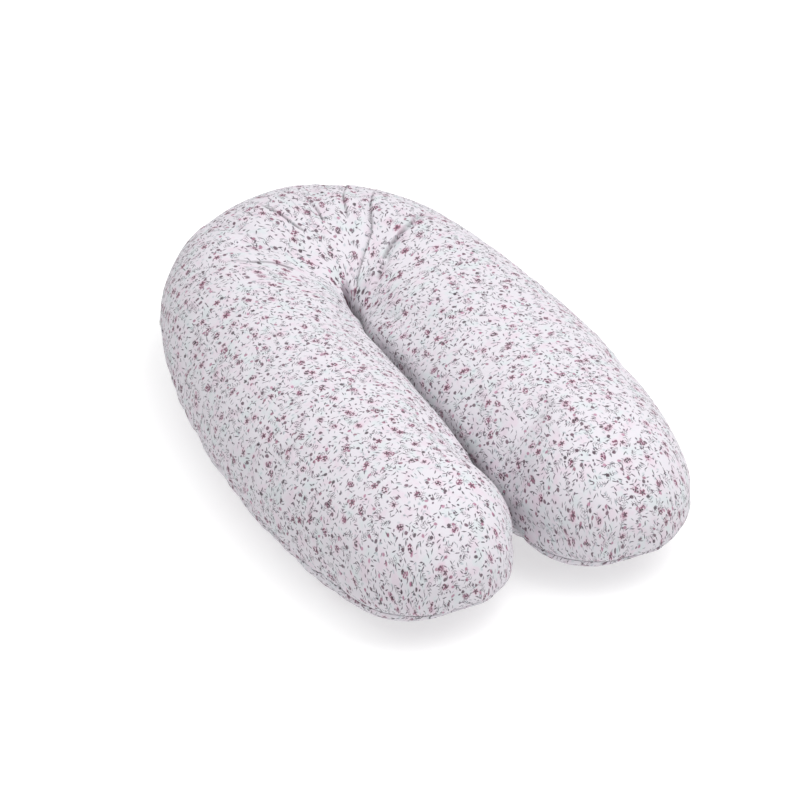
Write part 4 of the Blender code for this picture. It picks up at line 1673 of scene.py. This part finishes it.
    def dress(self, cover: SewnCase) -> None:
        """Builds the zip's pieces and hangs them on the bodies."""
        cloth = PlainCloth(
            "zip_tape", (0.62, 0.60, 0.64), (0.44, 0.42, 0.46), 0.00055, Weave.TWILL, 0.75).material()
        thread = PlainCloth(
            "sewing_thread", (0.68, 0.66, 0.70), (0.50, 0.48, 0.52), 0.0003, Weave.TWILL, 0.6).material()
        nylon, metal = Nylon().material(), SatinNickel().material()
        for up, word, panel in ((1, "upper", Panel.TOP), (-1, "lower", Panel.BOTTOM)):
            rows = cover.hemmed[panel]
            made = {
                f"zip_tape_{word}": (self.tape(f"woven_tape_{word}", up, cloth), "zip_tape"),
                f"zip_coil_{word}": (self.coil(f"nylon_coil_{word}", up, nylon), "zip_nylon"),
                f"zip_top_stop_{word}": (
                    softened(f"zip_top_stop_{word}", f"top_stop_{word}", 0.0003, metal), "zip_metal"),
            }
            for node, (item, slot) in made.items():
                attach(item, "crown")
                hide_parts(node)
                report(item)
            stitches = self.stitching(
                f"hem_stitching_{word}", rows, cover.facing(rows, panel), cover.at.polar, thread)
            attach(stitches, "crown")
        for node, name, body, width in (
                ("zip_bottom_stop", "bottom_stop", "crown", 0.0002),
                ("zip_slider_body", "slider", "zip_slider", 0.00022),
                ("zip_pull_tab", "pull_tab", "zip_pull", 0.00025)):
            item = softened(node, name, width, metal)
            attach(item, body)
            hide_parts(node)
            report(item)
        LOG.info("zip: %.0f mm long", self.run * 1000)


def softened(node: str, name: str, width: float, finish: bpy.types.Material) -> bpy.types.Object:
    """Copies a small hard CAD node with its edges rounded over.

    Args:
        node: The CAD node's name.
        name: The new piece's name.
        width: How much of each edge is rounded.
        finish: Its material.

    Returns:
        The new piece, in the node's place.
    """
    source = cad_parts[node]
    shape = bmesh.new()
    shape.from_mesh(source.data)
    shape.transform(source.matrix_world)
    bmesh.ops.remove_doubles(shape, verts=shape.verts, dist=1e-6)
    bmesh.ops.dissolve_limit(
        shape, angle_limit=math.radians(2), verts=shape.verts, edges=shape.edges)
    sharp = [edge for edge in shape.edges
             if edge.is_manifold and edge.calc_face_angle(0.0) > math.radians(35)]
    bmesh.ops.bevel(
        shape, geom=sharp, offset=width, offset_type="OFFSET", segments=2, profile=0.5,
        affect="EDGES", clamp_overlap=True, material=-1)
    item = add_object(name, shape, finish)
    item.data.set_sharp_from_angle(angle=math.radians(50))
    return item


@dataclass(frozen=True)
class CareLabel:
    """A blank satin tape, folded over and caught in the seam.

    Attributes:
        place: Where the label leaves the seam.
        turn: The direction that it faces, in radians from +X.
        width: Its width.
        drop: How far it hangs.
        loop: Its thickness at the fold.
        thickness: Thickness of the tape.
        tuck: How far it goes into the seam.
    """

    place: tuple[float, float, float]
    turn: float
    width: float = 0.022
    drop: float = 0.030
    loop: float = 0.0022
    thickness: float = 0.00028
    tuck: float = 0.004

    def path(self) -> list[Vector]:
        """The tape's course, outwards and up, from inside the seam round the fold and back."""
        front = [Vector((-self.tuck, 0.0003)), Vector((0.0006, 0.0003))]
        for step in range(1, 13):
            share = step / 12
            out = 0.0030 + 0.0030 * math.sin(share * 1.9)
            front.append(Vector((out, -self.drop * share * 0.97 + 0.0002)))
        fold = []
        for step in range(1, 8):
            angle = math.pi * step / 8
            out = front[-1].x - self.loop / 4 * (1 - math.cos(angle))
            fold.append(Vector((out, front[-1].y - self.loop / 3 * math.sin(angle))))
        back = [Vector((point.x - self.loop * 0.5 * min(1, index / 3), point.y - 0.0006))
                for index, point in reversed(list(enumerate(front)))]
        return front + fold + back

    def build(self, finish: bpy.types.Material) -> bpy.types.Object:
        """Makes the label."""
        path = self.path()
        run = [0.0]
        for near, far in zip(path, path[1:]):
            run.append(run[-1] + (far - near).length)
        shape = bmesh.new()
        bmesh.ops.create_grid(shape, x_segments=12, y_segments=len(path) - 1, size=0.5)
        flat = shape.loops.layers.uv.new("Cloth")
        for face in shape.faces:
            for loop in face.loops:
                index = round((loop.vert.co.y + 0.5) * (len(path) - 1))
                loop[flat].uv = (loop.vert.co.x * self.width, run[index])
        across = Vector((-math.sin(self.turn), math.cos(self.turn), 0))
        outward = Vector((math.cos(self.turn), math.sin(self.turn), 0))
        for vert in shape.verts:
            index = round((vert.co.y + 0.5) * (len(path) - 1))
            share = vert.co.x
            hang = min(max(-path[index].y / self.drop, 0), 1)
            curl = hang * (0.0022 * share * share * 4 + 0.0009 * math.sin(share * 5 + hang * 2))
            aside = share * self.width + 0.0010 * hang
            vert.co = (Vector(self.place) + across * aside
                       + outward * (path[index].x + curl) + Vector((0, 0, path[index].y)))
        item = add_object("care_label_tape", shape, finish)
        wall = item.modifiers.new("Tape thickness", "SOLIDIFY")
        wall.thickness = self.thickness
        wall.offset = 0.0
        apply_modifiers(item)
        return item


# ---------------------------------------------------------------- studio


@dataclass(frozen=True)
class Studio:
    """The plain pale floor, the soft light and the camera.

    Attributes:
        azimuth: Where the camera stands round the pillow, in degrees.
        elevation: How high it looks from, in degrees.
        distance: How far away it is, in metres.
        lens: Its lens, in millimetres.
        aim: The point that it looks at.
    """

    azimuth: float = -26.95
    elevation: float = 34.32
    distance: float = 6.084
    lens: float = 224.8
    aim: tuple[float, float, float] = (0.004, 0.006, 0.0694)

    def direction(self, azimuth: float, elevation: float) -> Vector:
        """The direction from the pillow to a place round it."""
        turn, rise = math.radians(azimuth), math.radians(elevation)
        return Vector((
            math.sin(turn) * math.cos(rise), -math.cos(turn) * math.cos(rise), math.sin(rise)))

    def floor(self) -> bpy.types.Object:
        """Lays the floor."""
        shader = Shader("studio_floor")
        place = shader.object_place()
        mottle = shader.clouds(place, 1.5, 2.0)
        colour = shader.mixed(mottle, (0.55, 0.55, 0.55), (0.57, 0.57, 0.57))
        finish = shader.finish(
            Base_Color=colour, Roughness=0.9, Specular_IOR_Level=0.1,
            Emission_Color=(1.0, 1.0, 1.0), Emission_Strength=0.50)
        shape = bmesh.new()
        bmesh.ops.create_grid(shape, x_segments=2, y_segments=2, size=14.0)
        item = add_object("studio_floor", shape, finish)
        return item

    def lamp(self, name: str, azimuth: float, elevation: float, distance: float,
             size: float, power: float) -> None:
        """Hangs a square soft box that faces the pillow."""
        light = bpy.data.lights.new(name, "AREA")
        light.size = size
        light.energy = power
        item = bpy.data.objects.new(name, light)
        toward = self.direction(azimuth, elevation)
        item.location = Vector(self.aim) + toward * distance
        item.rotation_euler = toward.to_track_quat("Z", "Y").to_euler()
        bpy.context.scene.collection.objects.link(item)

    def build(self) -> None:
        """Sets the studio up."""
        self.floor()
        self.lamp("key_light", 58, 60, 3.2, 3.0, 68)
        self.lamp("fill_light", -60, 40, 3.6, 3.2, 2)
        self.lamp("top_light", -55, 76, 3.4, 4.2, 80)
        world = bpy.data.worlds.new("studio_air")
        world.use_nodes = True
        air = world.node_tree.nodes["Background"]
        air.inputs["Color"].default_value = (1.0, 1.0, 1.0, 1.0)
        air.inputs["Strength"].default_value = 0.50
        bpy.context.scene.world = world
        bpy.context.scene.view_settings.view_transform = "Standard"
        camera = bpy.data.cameras.new("camera")
        camera.lens = self.lens
        camera.clip_end = 60
        item = bpy.data.objects.new("camera", camera)
        back = self.direction(self.azimuth, self.elevation)
        item.location = Vector(self.aim) + back * self.distance
        item.rotation_euler = back.to_track_quat("Z", "Y").to_euler()
        bpy.context.scene.collection.objects.link(item)
        bpy.context.scene.camera = item


def main() -> None:
    """Builds the pillow and its studio."""
    logging.basicConfig(level=logging.INFO, format="%(message)s")
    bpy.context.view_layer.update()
    shape = PillowShape()
    Studio().build()
    cover = SewnCase("cover", shape)
    cover.sew(PrintedCotton().material(), Swelling(shape))
    cover.dress("printed_cotton")
    case = SewnCase(
        "inner_case", shape, inset=0.0105, thickness=0.0006, steps=(40, 50, 16),
        across_steps=40, seam_dip=0.001, zip_from=math.pi, pleats=())
    ticking = PlainCloth("plain_ticking", (0.80, 0.79, 0.76), (0.66, 0.65, 0.62), cloth_map="Print")
    case.sew(ticking.material(), None)
    case.dress("plain_ticking")
    filling = Filling(shape)
    filling.stuff(FibreFill().material())
    filling.dress()
    CrownZip(shape.crown_y, shape.seam_height).dress(cover)
    satin = PlainCloth(
        "label_satin", (0.80, 0.79, 0.78), (0.70, 0.69, 0.68), 0.00028, Weave.TWILL, 0.42, 0.3)
    place, turn = shape.outline_at(ZIP_START - LABEL_GAP / shape.crown_radius)
    label = CareLabel(place, turn).build(satin.material())
    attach(label, "crown")
    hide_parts("care_label")
    report(label)


if __name__ == "__main__":
    main()
